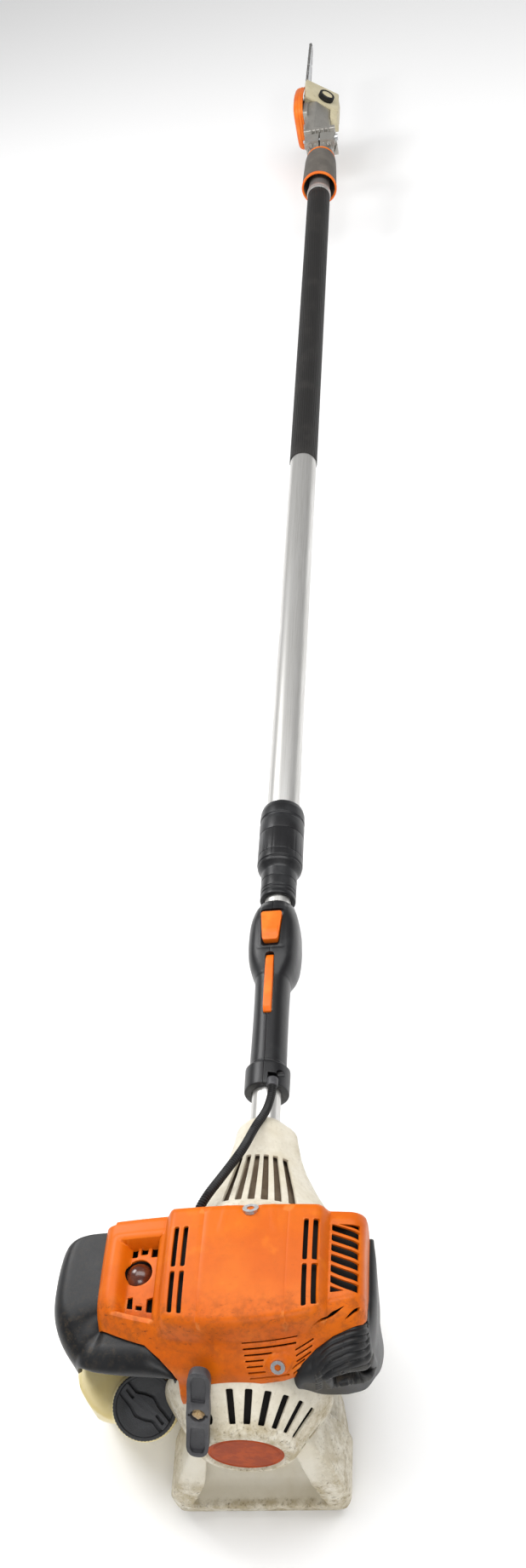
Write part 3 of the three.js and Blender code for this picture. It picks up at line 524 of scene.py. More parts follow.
def skin(outline, surface, spacing, holes=(), steps=(), grime=None, seam=False):
    """steps are (loop, depth, wall): the sheet is pressed in by depth inside the loop."""
    outline = resampled(np.asarray(outline, float), spacing)
    holes = [resampled(h, spacing) for h in holes]
    loops = [outline, *holes]
    for loop, _, wall in steps:
        loops += [resampled(loop, spacing), resampled(shrunk(loop, wall), spacing)]
    low, high = outline.min(0), outline.max(0)
    us = np.arange(low[0] + spacing * 0.5, high[0], spacing)
    ss = np.arange(low[1] + spacing * 0.5, high[1], spacing)
    grid = np.stack(np.meshgrid(us, ss), -1).reshape(-1, 2)
    keep = inside(grid, outline)
    for hole in holes:
        keep &= ~inside(grid, hole)
    for loop in loops:
        keep &= edge_distance(grid, loop, spacing) > 0.45 * spacing
    coords = np.concatenate([*loops, grid[keep]])
    edges = []
    start = 0
    for loop in loops:
        count = len(loop)
        edges += [(start + i, start + (i + 1) % count) for i in range(count)]
        start += count
    verts, _, faces, *_ = delaunay_2d_cdt([Vector(c) for c in coords], edges, [], 0, 1e-5)
    uv = np.array([tuple(v) for v in verts])
    faces = np.array([tuple(f) for f in faces])
    middles = uv[faces].mean(1)
    good = inside(middles, outline)
    for hole in holes:
        good &= ~inside(middles, hole)
    faces = faces[good]
    used = np.unique(faces)
    renumber = np.full(len(uv), -1)
    renumber[used] = np.arange(len(used))
    uv = uv[used]
    faces = renumber[faces]
    depth = np.zeros(len(uv))
    for loop, amount, wall in steps:
        inward = np.where(inside(uv, loop), edge_distance(uv, loop, 1), 0)
        depth = np.maximum(depth, amount * np.clip(inward / wall, 0, 1) * (inward < FAR))
    points = surface(uv[:, 0], uv[:, 1], depth)
    mesh = mesh_of(points, [tuple(int(i) for i in f) for f in faces])
    if grime is not None:
        mark_grime(mesh, grime(uv[:, 0], uv[:, 1]))
    if seam:
        weld(mesh)
    return mesh


def weld(mesh):
    work = bmesh.new()
    work.from_mesh(mesh)
    bmesh.ops.remove_doubles(work, verts=work.verts, dist=0.02 * MM)
    work.to_mesh(mesh)
    work.free()


# ---------------------------------------------------------------- top shroud
SPINE = [(62, 95), (30, 98), (0, 99), (-25, 98.5), (-38, 95), (-47, 86), (-55, 70), (-61, 50), (-64, 20)]


def spine_table():
    """The shroud's middle line from front to back: distance along it, y and z."""
    padded = extended(SPINE)
    line = []
    for stretch in zip(padded, padded[1:], padded[2:], padded[3:]):
        line += [between(*stretch, t) for t in np.arange(12) / 12]
    line = np.array([*line, SPINE[-1]], float)
    return travel(line), line[:, 0], line[:, 1]


ALONG, SPINE_Y, SPINE_Z = spine_table()
FRONT_R = 2.5
SIDE_R = 10
LEFT_R = 8
FLAT_RIGHT = 96        # the skin is flat out to here, then turns down
FLAT_LEFT = -106
QUARTER = math.pi / 2
CROWN = 0.0008         # how fast the top falls towards its sides
REAR_CURVE = 0.002     # how fast the rear wall comes forward towards its sides
PANEL_LINES = (-24, 47)
BELL_CLEARANCE = 78.5  # the front wall ends this far from the pole axis, above the clutch bell
LOUVRES = 6
LOUVRE_PITCH = 9.3
FRONT_SCREW = np.array([15, 60, 106.5])
SCREW_TILT = np.array([0, 0.565, 0.825])


def bowl(u, s):
    """How far into the carburettor recess a point lies, 0 at its rim and 1 on its floor."""
    right = np.clip((-62.5 - u) / 2.5, 0, 1)
    left = np.clip((u + 102) / 11, 0, 1)
    front = np.clip((s - 14.5) / 3, 0, 1)
    back = np.clip((98 - s) / 3, 0, 1)
    level = np.minimum(np.minimum(left, right), np.minimum(front, back))
    return level * level * (3 - 2 * level)


def shroud_height(u, s):
    """How far the skin stands above its plain sweep."""
    raised = ramp(-59.5, -51, u) * (1 - ramp(71, 79, u)) * (1 - ramp(97, 110, s))
    lip = np.exp(-((s - 99) / 4.0) ** 2) * ramp(-58, -48, u) * (1 - ramp(66, 76, u))
    height = 12 * raised + 0.9 * lip
    height -= 12 * bowl(u, s)
    rim = np.maximum(np.abs(u + 82) - 20, np.abs(s - 56) - 42)
    height += 0.8 * np.exp(-((rim - 2.2) / 1.6) ** 2) * (u < -56)
    boss = np.hypot(u - 38, s - 134)
    height += 3.0 * (1 - ramp(8.0, 10.5, boss))
    frame_edge = np.maximum(np.abs(u - 92.5) - 12, np.abs(s - 47) - 39)
    height += 1.0 * np.exp(-((frame_edge - 3.0) / 2.2) ** 2) * (u > 80)
    for side, slant in ((-9, 3.2), (36, -2.4)):
        crease = u - side - slant * (1 - s / 22)
        height += 0.7 * np.exp(-(crease / 1.4) ** 2) * ramp(25, 16, s) * (s > -3)
    return height


def shroud_surface(u, s, depth):
    """Lays (u, s) on the shroud: u across it, s back along its middle line."""
    right = np.clip((u - FLAT_RIGHT) / SIDE_R, 0, QUARTER)
    left = np.clip((FLAT_LEFT - u) / LEFT_R, 0, QUARTER)
    x = np.clip(u, FLAT_LEFT, FLAT_RIGHT) + SIDE_R * np.sin(right) - LEFT_R * np.sin(left)
    drop = SIDE_R * (1 - np.cos(right)) + np.maximum(0, u - FLAT_RIGHT - SIDE_R * QUARTER)
    drop += LEFT_R * (1 - np.cos(left)) + np.maximum(0, FLAT_LEFT - u - LEFT_R * QUARTER)
    y = np.interp(s, ALONG, SPINE_Y)
    z = np.interp(s, ALONG, SPINE_Z) - CROWN * x * x - drop
    y += REAR_CURVE * np.minimum(np.abs(x), 112) ** 2 * ramp(40, 110, s) * (1 - 0.7 * ramp(150, 180, s))
    lift = 10 * ramp(108, 150, s) + 10 * ramp(150, 183, s)
    y -= 0.42 * lift
    z += lift
    front = np.clip(-s / FRONT_R, 0, QUARTER)
    y += FRONT_R * np.sin(front)
    z -= FRONT_R * (1 - np.cos(front)) + np.maximum(0, -s - FRONT_R * QUARTER)
    rise = shroud_height(u, np.maximum(s, 0)) - depth
    # The relief stands up on the top and outwards on the rear wall.
    lean = ramp(96, 125, s)
    z += rise * (1 - 0.75 * lean)
    y -= rise * 0.8 * lean
    # The seat of the front screw is pressed flat.
    points = np.stack([x, y, z], 1)
    offset = points - FRONT_SCREW
    above = offset @ SCREW_TILT
    across = np.linalg.norm(offset - above[:, None] * SCREW_TILT, axis=1)
    press = np.maximum(0, above) * (1 - ramp(8.0, 9.5, across))
    return points - press[:, None] * SCREW_TILT


def behind(x, y):
    """Distance along the shroud where it passes y, at that x."""
    s = np.arange(0.0, 150.0)
    there = np.interp(s, ALONG, SPINE_Y) + REAR_CURVE * x * x * ramp(40, 110, s)
    return float(np.interp(-y, -there, s))


def shroud_outline():
    """The flat edge of the shroud, its front wall unfolded below s = 0."""
    edge = [(-140, 3), (-140, 110), (-124, 116), (-115, 116.5), (-72, 119), (-60, 130), (-50, 143),
            (-46.5, 152), (-46.8, 168), (-46.5, 183), (-44, 183), (-40, 170), (-33, 157), (-24, 154),
            (40, 153.5), (49, 151), (56, 138), (68, 126), (82, 118), (93, 116), (105, 114), (118, 104),
            (127, 88), (132, 70), (132, 8), (127, 1), (112, -6), (104, -20), (96, -28)]
    for u in range(92, -106, -4):
        top = 95 - CROWN * u * u + float(shroud_height(np.array([float(u)]), np.array([0.0]))[0])
        bottom = max(62 if u > 78 else 50, math.sqrt(max(0, BELL_CLEARANCE ** 2 - u * u)))
        edge.append((u, -(top - FRONT_R - bottom) - FRONT_R * QUARTER))
    edge.append((FLAT_LEFT, 0))
    return np.array(edge, float)


def louvre(corners, radius):
    """An opening whose corners are given as (x, y)."""
    return rounded([(x, behind(x, y)) for x, y in corners], radius, 2)


def shroud_holes():
    """The openings: the bowl's windows, the long slots, the louvres on the right and the cable's hole."""
    holes = [quad(-92.5, -85.5, 18.5, 28, 1.2), quad(-83, -76.5, 18.5, 26, 1.2), quad(-73.5, -66.5, 18.5,
                                                                                      29, 1.2),
             rounded([(-91, 71), (-85.5, 69), (-85, 84), (-91.5, 84)], 1), quad(-82.5, -76.5, 79, 84, 0.8),
             rounded([(-73, 71), (-66.5, 68), (-66, 85), (-73, 85)], 1), disc(-83.5, 43, 12.8)]
    for u in (-46.5, -38.5):
        holes += [quad(u - 2.1, u + 2.1, 15, 52, 1.6), quad(u - 2.1, u + 2.1, 56, 94, 1.6)]
    for u in (62.3, 70.0):
        holes += [quad(u - 2.0, u + 2.0, 11, 49, 1.6), quad(u - 2.0, u + 2.0, 52.5, 94, 1.6)]
    for i in range(LOUVRES):
        y = 53 - LOUVRE_PITCH * i
        holes.append(louvre([(81.5, y), (103.5, y - 7.2), (103.5, y - 14.2), (81.5, y - 6.6)], 1.0))
    holes.append(louvre([(86, 53), (103.5, 53), (103.5, 48)], 0.8))
    holes.append(louvre([(81.5, -2.8), (93, -6.6), (81.5, -8.6)], 0.8))
    holes.append(rounded([(67, 105), (84, 97.5), (93, 95.5), (84, 101)], 1, 2))
    holes.append(rounded([(91, 107), (100, 100), (104, 98.5), (103, 102), (96, 106)], 1, 2))
    holes.append(disc(-40, -24.5, 5.6, 16))
    return holes


def skirt_slots():
    """The narrow slots between the ribs of the rear skirt."""
    slots = []
    for i in range(7):
        s = 110 + i * 6.1
        left = 10 + 0.6 * i
        right = 55 - 1.6 * i
        if 1 < i < 6:
            reach = math.sqrt(max(0, 12.5 ** 2 - (s - 134) ** 2))
            right = min(right, 38 - reach)
        slots.append(quad(left, right, s - 1.0, s + 1.0, 0.9))
    for i in range(6):
        start = np.array([52 + (0 if i < 3 else -4), 122 + i * 6.0])
        run = np.array([15 - 1.4 * i, -7.2])
        side = np.array([0, 2.0])
        slots.append(rounded([start, start + run, start + run + side, start + side], 0.8))
    return slots


def shroud_grime(u, s):
    """The shroud is dirtiest along its rear edge, in its bowl and at its left rear corner."""
    rear_edge = ramp(72, 98, s) * (1 - ramp(104, 122, s))
    lower = 0.45 * ramp(104, 120, s)
    bowl_floor = 0.75 * bowl(u, s) * ramp(50, 95, s)
    left_corner = 0.8 * ramp(-60, -100, u) * ramp(85, 110, s)
    return np.clip(rear_edge * 0.9 + lower + bowl_floor + left_corner + 0.15, 0, 1)


def make_shroud(material, groove_shade_material):
    grooves = [(quad(u - 0.8, u + 0.8, 1, 101, 0.3), 1.6, 0.35) for u in PANEL_LINES]
    holes = shroud_holes() + skirt_slots()
    mesh = skin(shroud_outline(), shroud_surface, 2.0, holes, grooves, shroud_grime)
    shaped("shroud", mesh, material, "powerhead", ["engine_shroud"], wall=2.4, bevel=0.5)
    # Dark lines along the pressed panel grooves: painted shade in the grooves.
    for u in PANEL_LINES:
        s = np.linspace(2, 100, 60)
        line = shroud_surface(np.full(60, float(u)), s, np.full(60, 0.3))
        seam = sweep(line, np.full(60, 0.85), 8)
        shaped("panel_groove_shade", seam, groove_shade_material, "powerhead")


# ---------------------------------------------------------------- skins of revolution
class Bell:
    """A shell turned about the pole axis.

    Its flat pattern is (angle * REACH, distance along the profile).
    """

    REACH = 60.0

    def __init__(self, profile, swell=None):
        self.profile = rounded_line(profile, 3.0)
        self.along = travel(self.profile)
        self.swell = swell

    def point(self, u, s, depth):
        angle = u / self.REACH
        r = np.interp(s, self.along, self.profile[:, 0]) - depth
        y = np.interp(s, self.along, self.profile[:, 1])
        if self.swell:
            r = r + self.swell(angle, y)
        return np.stack([r * np.sin(angle), y, r * np.cos(angle)], 1)

    def distance_at(self, y):
        """Distance along the outside where the profile passes y."""
        order = np.argsort(self.profile[:, 1])
        return float(np.interp(y, self.profile[order, 1], self.along[order]))

    def outline(self):
        half = math.pi * self.REACH
        return [(-half, 0), (half, 0), (half, self.along[-1]), (-half, self.along[-1])]

    def slot(self, y0, y1, x0, x1, width0, width1):
        """A slot from (x0, y0) to (x1, y1) seen from above, width0 wide at y0 and width1 at y1."""
        corners = []
        for y, x, width in ((y0, x0, -width0), (y0, x0, width0), (y1, x1, width1), (y1, x1, -width1)):
            s = self.distance_at(y)
            r = float(np.interp(s, self.along, self.profile[:, 0]))
            corners.append((math.asin(max(-1, min(1, (x + width / 2) / r))) * self.REACH, s))
        return rounded(corners, 1.0, 2)


STARTER_SLOT_STEP = 0.267     # angle from slot to slot
FIRST_STARTER_SLOT = -0.07


def make_starter_housing(material):
    bell = Bell([(68, -50), (68, -55), (59.5, -68), (38.5, -98), (33.5, -99.6), (33, -97.4)])
    slots = []
    for i in range(6):
        angle = FIRST_STARTER_SLOT + i * STARTER_SLOT_STEP
        fore, rear = 58.5 * math.sin(angle), 42 * math.sin(angle)
        squeeze = math.cos(angle)
        slots.append(bell.slot(-92, -69.5, rear, fore, 5.2 * squeeze, 5.8 * squeeze))
    for i in (7, 8, 9, 10):
        middle = (FIRST_STARTER_SLOT + i * STARTER_SLOT_STEP) * bell.REACH
        slots.append(quad(middle - 3, middle + 3, bell.distance_at(-71), bell.distance_at(-91), 1.2))
    slots.append(disc(math.atan2(-28, 50) * bell.REACH, bell.distance_at(-86), 5.5, 16))

    def grime(u, s):
        rear = ramp(bell.distance_at(-84), bell.distance_at(-97), s)
        return np.clip(0.25 + rear + 0.8 * ramp(55, 90, np.abs(u - 10)), 0, 1)

    mesh = skin(bell.outline(), bell.point, 2.4, slots, (), grime, seam=True)
    shaped("starter_shell", mesh, material, "powerhead", ["starter_housing"], wall=2.6,
           bevel=0.5)


def make_clutch_bell(material):
    def swell(angle, y):
        rib = np.exp(-((angle - 1.5) / 0.34) ** 2)
        return 5.5 * rib * ramp(84, 118, y) * (1 - ramp(190, 205, y))

    bell = Bell([(76, 62.6), (76, 85), (60, 108), (48, 128), (37, 150), (31.5, 166), (28, 182), (25.5, 197),
                 (17.5, 205.5), (14.4, 205.6)], swell)
    slots = []
    for i in range(-3, 3):
        slots.append(bell.slot(91, 156, 18 + 11.6 * i, 10 + 8 * i, 6.2, 4.4))
    for i in range(-3, 3):
        middle = (2.9 + 0.2 * i) * bell.REACH
        if abs(middle) < math.pi * bell.REACH - 8:
            slots.append(quad(middle - 2.6, middle + 2.6, bell.distance_at(94), bell.distance_at(150), 1.2))

    def grime(u, s):
        low = 1 - ramp(0, 40, s)
        return np.clip(0.2 + 0.6 * low + 0.7 * ramp(70, 110, np.abs(u)), 0, 1)

    mesh = skin(bell.outline(), bell.point, 2.4, slots, (), grime, seam=True)
    shaped("clutch_bell", mesh, material, "powerhead", ["clutch_housing"], wall=2.8,
           bevel=0.5)


# ---------------------------------------------------------------- wrapped side covers
def wrap_cover(stations, count, rows, relief=None, grime=None, taper=0.0):
    """A cover from the shroud's edge over a rounded shoulder and down a wall.

    Each station is (u, s on the shroud's edge, outer x, outer y, bottom z, shoulder radius).
    """
    table = spline(stations, count)
    start = shroud_surface(table[:, 0], table[:, 1], np.full(count, 1.2))
    outer = table[:, 2:4]
    bottom = table[:, 4]
    radius = table[:, 5]
    run = outer - start[:, :2]
    width = np.linalg.norm(run, axis=1)
    direction = run / width[:, None]
    radius = np.minimum(radius, 0.92 * width)
    flat = width - radius
    height = start[:, 2] - bottom
    radius_z = np.minimum(radius * 1.15, 0.9 * height)
    points = np.zeros((rows, count, 3))
    travelled = np.zeros((rows, count))
    for k in range(rows):
        total = flat + 1.6 * radius + (height - radius_z)
        d = total * k / (rows - 1)
        turn = np.clip((d - flat) / (1.6 * radius), 0, 1) * math.pi / 2
        out = np.minimum(d, flat) + radius * np.sin(turn) - taper * np.maximum(0, d - flat - 1.6 * radius)
        down = radius_z * (1 - np.cos(turn)) + np.maximum(0, d - flat - 1.6 * radius)
        sag = 0.06 * np.minimum(d, flat)
        points[k, :, :2] = start[:, :2] + direction * out[:, None]
        points[k, :, 2] = start[:, 2] - down - sag * (1 - turn / (math.pi / 2))
        travelled[k] = d
    across = np.gradient(points, axis=1)
    along = np.gradient(points, axis=0)
    normal = np.cross(across, along)
    normal /= np.linalg.norm(normal, axis=2)[..., None] + 1e-12
    if np.mean(normal[0, :, 2]) < 0:
        normal = -normal
    station = np.tile(np.linspace(0, len(stations) - 1, count), (rows, 1))
    if relief:
        points += normal * relief(station, travelled, points)[..., None]
    faces = []
    flip = np.cross(across[0, count // 2], along[0, count // 2])[2] < 0
    for k in range(rows - 1):
        for i in range(count - 1):
            a, b = k * count + i, k * count + i + 1
            face = (a, b, b + count, a + count)
            faces.append(face if not flip else face[::-1])
    mesh = mesh_of(points.reshape(-1, 3), faces)
    if grime:
        mark_grime(mesh, grime(station, travelled, points).ravel())
    return mesh


def make_filter_cover(material):
    stations = [(-115.8, 2, -118, 61, -14, 3), (-115.8, 3, -138, 60, -14, 8),
                (-115.8, 6, -151, 55.5, -14, 12), (-115.8, 14, -157, 44, -14, 15),
                (-115.8, 40, -159, 20, -14, 16), (-115.8, 70, -158.5, -4, -14, 17),
                (-115.8, 95, -153.5, -23, -8, 18), (-115.8, 108, -145, -38, 20, 19),
                (-115.4, 114.5, -133, -49, 56, 20), (-110, 117.3, -118, -55, 61, 20),
                (-95, 118.6, -98, -58, 61, 20), (-72, 120.2, -76, -60, 61, 20),
                (-60.8, 131.2, -63, -61, 61, 20), (-51, 144.4, -53, -62, 61, 20),
                (-47.6, 152, -48, -63, 61, 20)]

    def grime(t, d, points):
        return np.clip(0.2 + 0.8 * ramp(58, 30, points[..., 2]) * ramp(7, 9, t)
                       + 0.6 * np.exp(-((points[..., 1] + 30) / 16) ** 2) * ramp(0, 20, d), 0, 1)

    mesh = wrap_cover(stations, 120, 44, None, grime)
    shaped("filter_cover", mesh, material, "powerhead", ["air_filter_cover"], wall=2.5,
           bevel=0.5)


def make_filter_pad(material):
    pad = prism([(-144, -12), (-127, -22), (-127, 44), (-144, 44)], 26, 66, "Z", 3)
    shaped("filter_pad", pad, material, "powerhead", ["air_filter_element"], bevel=1.5, segments=3)


def make_muffler_guard(material):
    stations = [(132.8, 6, 109, 58, -40, 4), (132.8, 20, 111, 38, -38, 6), (132.8, 45, 111.6, 12, -34, 8),
                (132.8, 70, 111.2, -14, -24, 10), (128.5, 88.5, 109, -36, -4, 15),
                (119.5, 105, 106, -51, 20, 17), (106, 115.2, 99, -59, 20, 18), (93, 117.4, 88, -62, 18, 18),
                (82.6, 119.3, 78, -63, 19, 18), (69, 127.4, 66, -63.5, 23, 16),
                (57, 139.3, 56.5, -64, 35, 14), (50.2, 152.5, 50, -66, 50, 12)]

    def relief(t, d, points):
        span = ramp(4.1, 4.9, t) * (1 - ramp(8.0, 8.8, t))
        out = np.zeros_like(d)
        for rib in (6, 12, 18, 24, 30):
            out += 1.7 * span * np.exp(-((d - rib) / 1.7) ** 2)
        mouth = np.maximum(np.abs(t - 6.3) / 1.75, np.abs(d - 44 + 1.5 * (t - 6.3)) / 9)
        out -= 13 * (1 - ramp(0.8, 1.0, mouth))
        out += 1.2 * np.exp(-((mouth - 1.12) / 0.1) ** 2) * (d < 60)
        for i in range(5):
            tick = np.maximum(np.abs(t - 8.7 - 0.1 * i) / 0.2, np.abs(d - 24 - 4.8 * i) / 1.3)
            out += 0.8 * (1 - ramp(0.6, 1.2, tick))
        return out

    def grime(t, d, points):
        mouth = np.maximum(np.abs(t - 6.3) / 1.75, np.abs(d - 44) / 9)
        return np.clip(0.15 + 1.2 * (1 - ramp(0.7, 1.1, mouth)), 0, 1)

    mesh = wrap_cover(stations, 230, 120, relief, grime, taper=0.13)
    shaped("muffler_guard_shell", mesh, material, "powerhead", ["muffler_guard"], wall=2.2,
           bevel=0.5)


# ---------------------------------------------------------------- solid forms
def turn(tilt, roll, position):
    """A local frame in mm: turned about Y by roll, then about X by tilt, then moved."""
    return Matrix.Translation(position) @ Matrix.Rotation(tilt, 4, "X") @ Matrix.Rotation(roll, 4, "Y")


def at(*position):
    """A local frame in mm that is only moved."""
    return Matrix.Translation(position)


def solid_mesh(points, faces, pose=None):
    """A closed mesh without doubled points, its faces turned outwards."""
    points = np.asarray(points, float).reshape(-1, 3)
    if pose:
        matrix = np.array(pose)
        points = points @ matrix[:3, :3].T + matrix[:3, 3]
    mesh = mesh_of(points, faces)
    work = bmesh.new()
    work.from_mesh(mesh)
    bmesh.ops.remove_doubles(work, verts=work.verts, dist=0.005 * MM)
    bmesh.ops.recalc_face_normals(work, faces=work.faces)
    work.to_mesh(mesh)
    work.free()
    return mesh


def axes(axis, along, first, second):
    """Coordinates in x, y, z order from one along the axis and two across it."""
    return {"X": (along, first, second), "Y": (first, along, second), "Z": (first, second, along)}[axis]


def bands(layers, count, steps):
    """The faces of that many steps from ring to ring, each ring of count points."""
    faces = []
    for k in range(steps):
        for i in range(count):
            j = (i + 1) % count
            m = (k + 1) % layers
            faces.append((k * count + i, k * count + j, m * count + j, m * count + i))
    return faces


def capped(layers, count):
    """The faces over rings of count points, with a flat cap on the first and the last."""
    caps = [tuple(range(count)), tuple(range((layers - 1) * count, layers * count))]
    return caps + bands(layers, count, layers - 1)


def lathe(profile, corner=0.8, segments=72, axis="Y", pose=None, wave=None):
    """A solid of revolution from a closed outline of (radius, distance along the axis)."""
    profile = np.asarray(profile, float)
    loop = rounded(profile, np.where(profile[:, 0] > 0, corner, 0)) if corner else profile
    count = len(loop)
    angles = np.tile(around(segments), (count, 1))
    along = np.tile(loop[:, 1:2], (1, segments))
    radius = np.tile(loop[:, :1], (1, segments))
    if wave:
        radius = radius + wave(angles, along, radius)
    points = np.stack(axes(axis, along, radius * np.sin(angles), radius * np.cos(angles)), -1)
    return solid_mesh(points, bands(count, segments, count), pose)


def rod(radius, low, high, axis, segments, corner=0, pose=None):
    """A plain round bar along an axis."""
    return lathe([(0, low), (radius, low), (radius, high), (0, high)], corner, segments, axis, pose)


def loft(rings, pose=None):
    """A closed skin over rings of equal point count."""
    rings = np.asarray(rings, float)
    return solid_mesh(rings, capped(*rings.shape[:2]), pose)


def prism(outline, low, high, axis, corner=0.0, pose=None):
    """A closed outline across the axis, pushed along it from low to high."""
    loop = rounded(outline, corner, 4) if corner else np.asarray(outline, float)
    layers = [axes(axis, np.full(len(loop), level), loop[:, 0], loop[:, 1]) for level in (low, high)]
    return loft([np.stack(layer, 1) for layer in layers], pose)


def sweep(path, radii, sides=20):
    """A round tube along a path, its radius given at each point."""
    path = np.asarray(path, float)
    along = np.gradient(path, axis=0)
    along /= np.linalg.norm(along, axis=1)[:, None]
    side = np.cross(along[0], (0, 0, 1.0))
    angles = around(sides)
    rings = []
    for centre, ahead, radius in zip(path, along, radii):
        side = side - (side @ ahead) * ahead
        side /= np.linalg.norm(side)
        up = np.cross(ahead, side)
        rings.append(centre + radius * (np.outer(np.cos(angles), side) + np.outer(np.sin(angles), up)))
    return loft(rings)


def combined(operation, mesh, *others):
    """The mesh joined with the others (UNION), without them (DIFFERENCE) or shared with them (INTERSECT)."""
    piece = added("work", mesh)
    for other in others:
        modifier = piece.modifiers.new("boolean", "BOOLEAN")
        modifier.operation = operation
        modifier.solver = "EXACT"
        modifier.object = added("helper", other)
    helpers = [modifier.object for modifier in piece.modifiers]
    result = settled(piece)
    for helper in helpers:
        bpy.data.meshes.remove(settled(helper))
    return result


def settled(piece):
    """The finished mesh of a working object, which goes."""
    if piece.modifiers:
        settle(piece)
    mesh = piece.data
    bpy.data.objects.remove(piece)
    return mesh


def cut(mesh, *others):
    return combined("DIFFERENCE", mesh, *others)


def join(mesh, *others):
    return combined("UNION", mesh, *others)


def moulded(mesh, cell, rounds):
    """A solid remade in small even faces, its corners flowing into each other."""
    piece = added("work", mesh)
    remesh = piece.modifiers.new("remesh", "REMESH")
    remesh.mode = "VOXEL"
    remesh.voxel_size = cell * MM
    smooth = piece.modifiers.new("smooth", "SMOOTH")
    smooth.factor = 0.5
    smooth.iterations = rounds
    return settled(piece)


def dirt(mesh, amount):
    """Marks the grime of a solid; amount works on points in mm."""
    points = np.empty(len(mesh.vertices) * 3)
    mesh.vertices.foreach_get("co", points)
    mark_grime(mesh, np.clip(amount(points.reshape(-1, 3) / MM - ORIGIN), 0, 1))
    return mesh


# ---------------------------------------------------------------- inside the shroud
def make_shroud_shade_sheet(material):
    """A dark sheet inside the shroud, painted shade that closes the view through the louvres."""
    def surface(u, s, depth):
        return shroud_surface(u, s, np.full(len(u), 7.5))

    holes = [disc(0, 63, 11), disc(-83.5, 43, 12.4)]
    mesh = skin(quad(-103, 110, 3, 150, 4), surface, 4.0, holes)
    shaped("shroud_shade_sheet", mesh, material, "powerhead", wall=1.0)


def make_cone_shade_sheets(material, fore_shade_material):
    """Dark sheets behind the slots of the starter shell and the clutch bell: painted shade inside the
    shells.
    """
    rear = lathe([(36, -91), (55, -66), (61, -53), (60, -53), (54, -66), (35, -90)], 0.4)
    shaped("starter_shade_sheet", rear, material, "powerhead")
    fore = lathe([(68, 66), (68, 82), (54, 104), (42, 124), (31, 146), (27, 160), (26, 160), (30, 145),
                  (41, 123), (53, 103), (67, 81), (67, 66)], 0.4)
    shaped("clutch_shade_sheet", fore, fore_shade_material, "powerhead")


# ---------------------------------------------------------------- stand, tank and cap
CAP_POSE = turn(0.42, 0.2, (-92, -54, -12))
GRIP_POSE = turn(-0.42, 0.17, (-28, -88.1, 59.2))


def make_stand(material, shade_dark):
    legs = prism([(-72, -118), (60, -118), (70, -109), (75.5, -94), (71, -58), (60, -30), (46, -8),
                  (-46, -8), (-60, -38), (-74, -64), (-85, -94), (-81, -109)], -110, -52, "Y", 10)
    flank = prism([(44, -56), (44, -8), (62, -8), (70, -50), (70, -56)], -118, -48, "Z", 5)
    slope = prism([(82, -118), (70, -118), (66, -70), (52, -40), (82, -40)], -62, 2, "Y")
    opening = prism([(-66, -98), (54, -98), (44, -60), (34, -24), (-38, -24), (-46, -60)], -125, -66, "Y", 6)
    bed = prism([(-125, -98), (-95, -99), (-84, -96), (-76, -88), (-70, -74), (-67, -50), (-67, -20),
                 (-125, -20)], -90, 90, "X", 6)
    back = prism([(-60, -108), (54, -108), (40, -50), (-44, -50)], -61, -40, "Y", 5)
    room = lathe([(0, -101), (38.5, -101), (42, -95), (60, -68), (69, -55), (69, -40), (0, -40)], 0)
    rear = prism([(-150, 30), (-76, 30), (-89, -20), (-104, -60), (-108, -80), (-109, -98), (-105, -119),
                  (-150, -119)], -120, 120, "X")
    window = prism([(-46, -76), (42, -76), (34, -24), (-38, -24)], -72, -40, "Y", 3)
    plan = prism([(-87, -110), (78, -110), (78, 10), (-87, 10)], -119, 0, "Z", 24)
    body = combined("INTERSECT", join(legs, cut(flank, slope)), plan)
    body = cut(body, combined("INTERSECT", opening, bed), back, rear, window)
    body = cut(moulded(body, 1.7, 6), room)

    def amount(p):
        x, y, z = p.T
        plate = ramp(-66, -60, x) * ramp(54, 48, x) * ramp(-104, -98, y)
        rim = ramp(-98, -112, z) + ramp(-99, -106, y) * ramp(-40, -80, z)
        return (0.35 + 0.9 * rim + 0.5 * ramp(56, 76, np.abs(x + 6))) * (1 - 0.85 * plate * (y < -64))

    dirt(body, amount)
    # A dark plate behind the window under the badge: painted shade in the gap.
    screen = prism([(-50, -110), (46, -110), (36, -40), (-40, -40)], -57, -55.5, "Y", 3)
    shaped("stand_shade_sheet", screen, shade_dark, "powerhead")
    shaped("stand", body, material, "powerhead", ["engine_stand"], smooth=60)


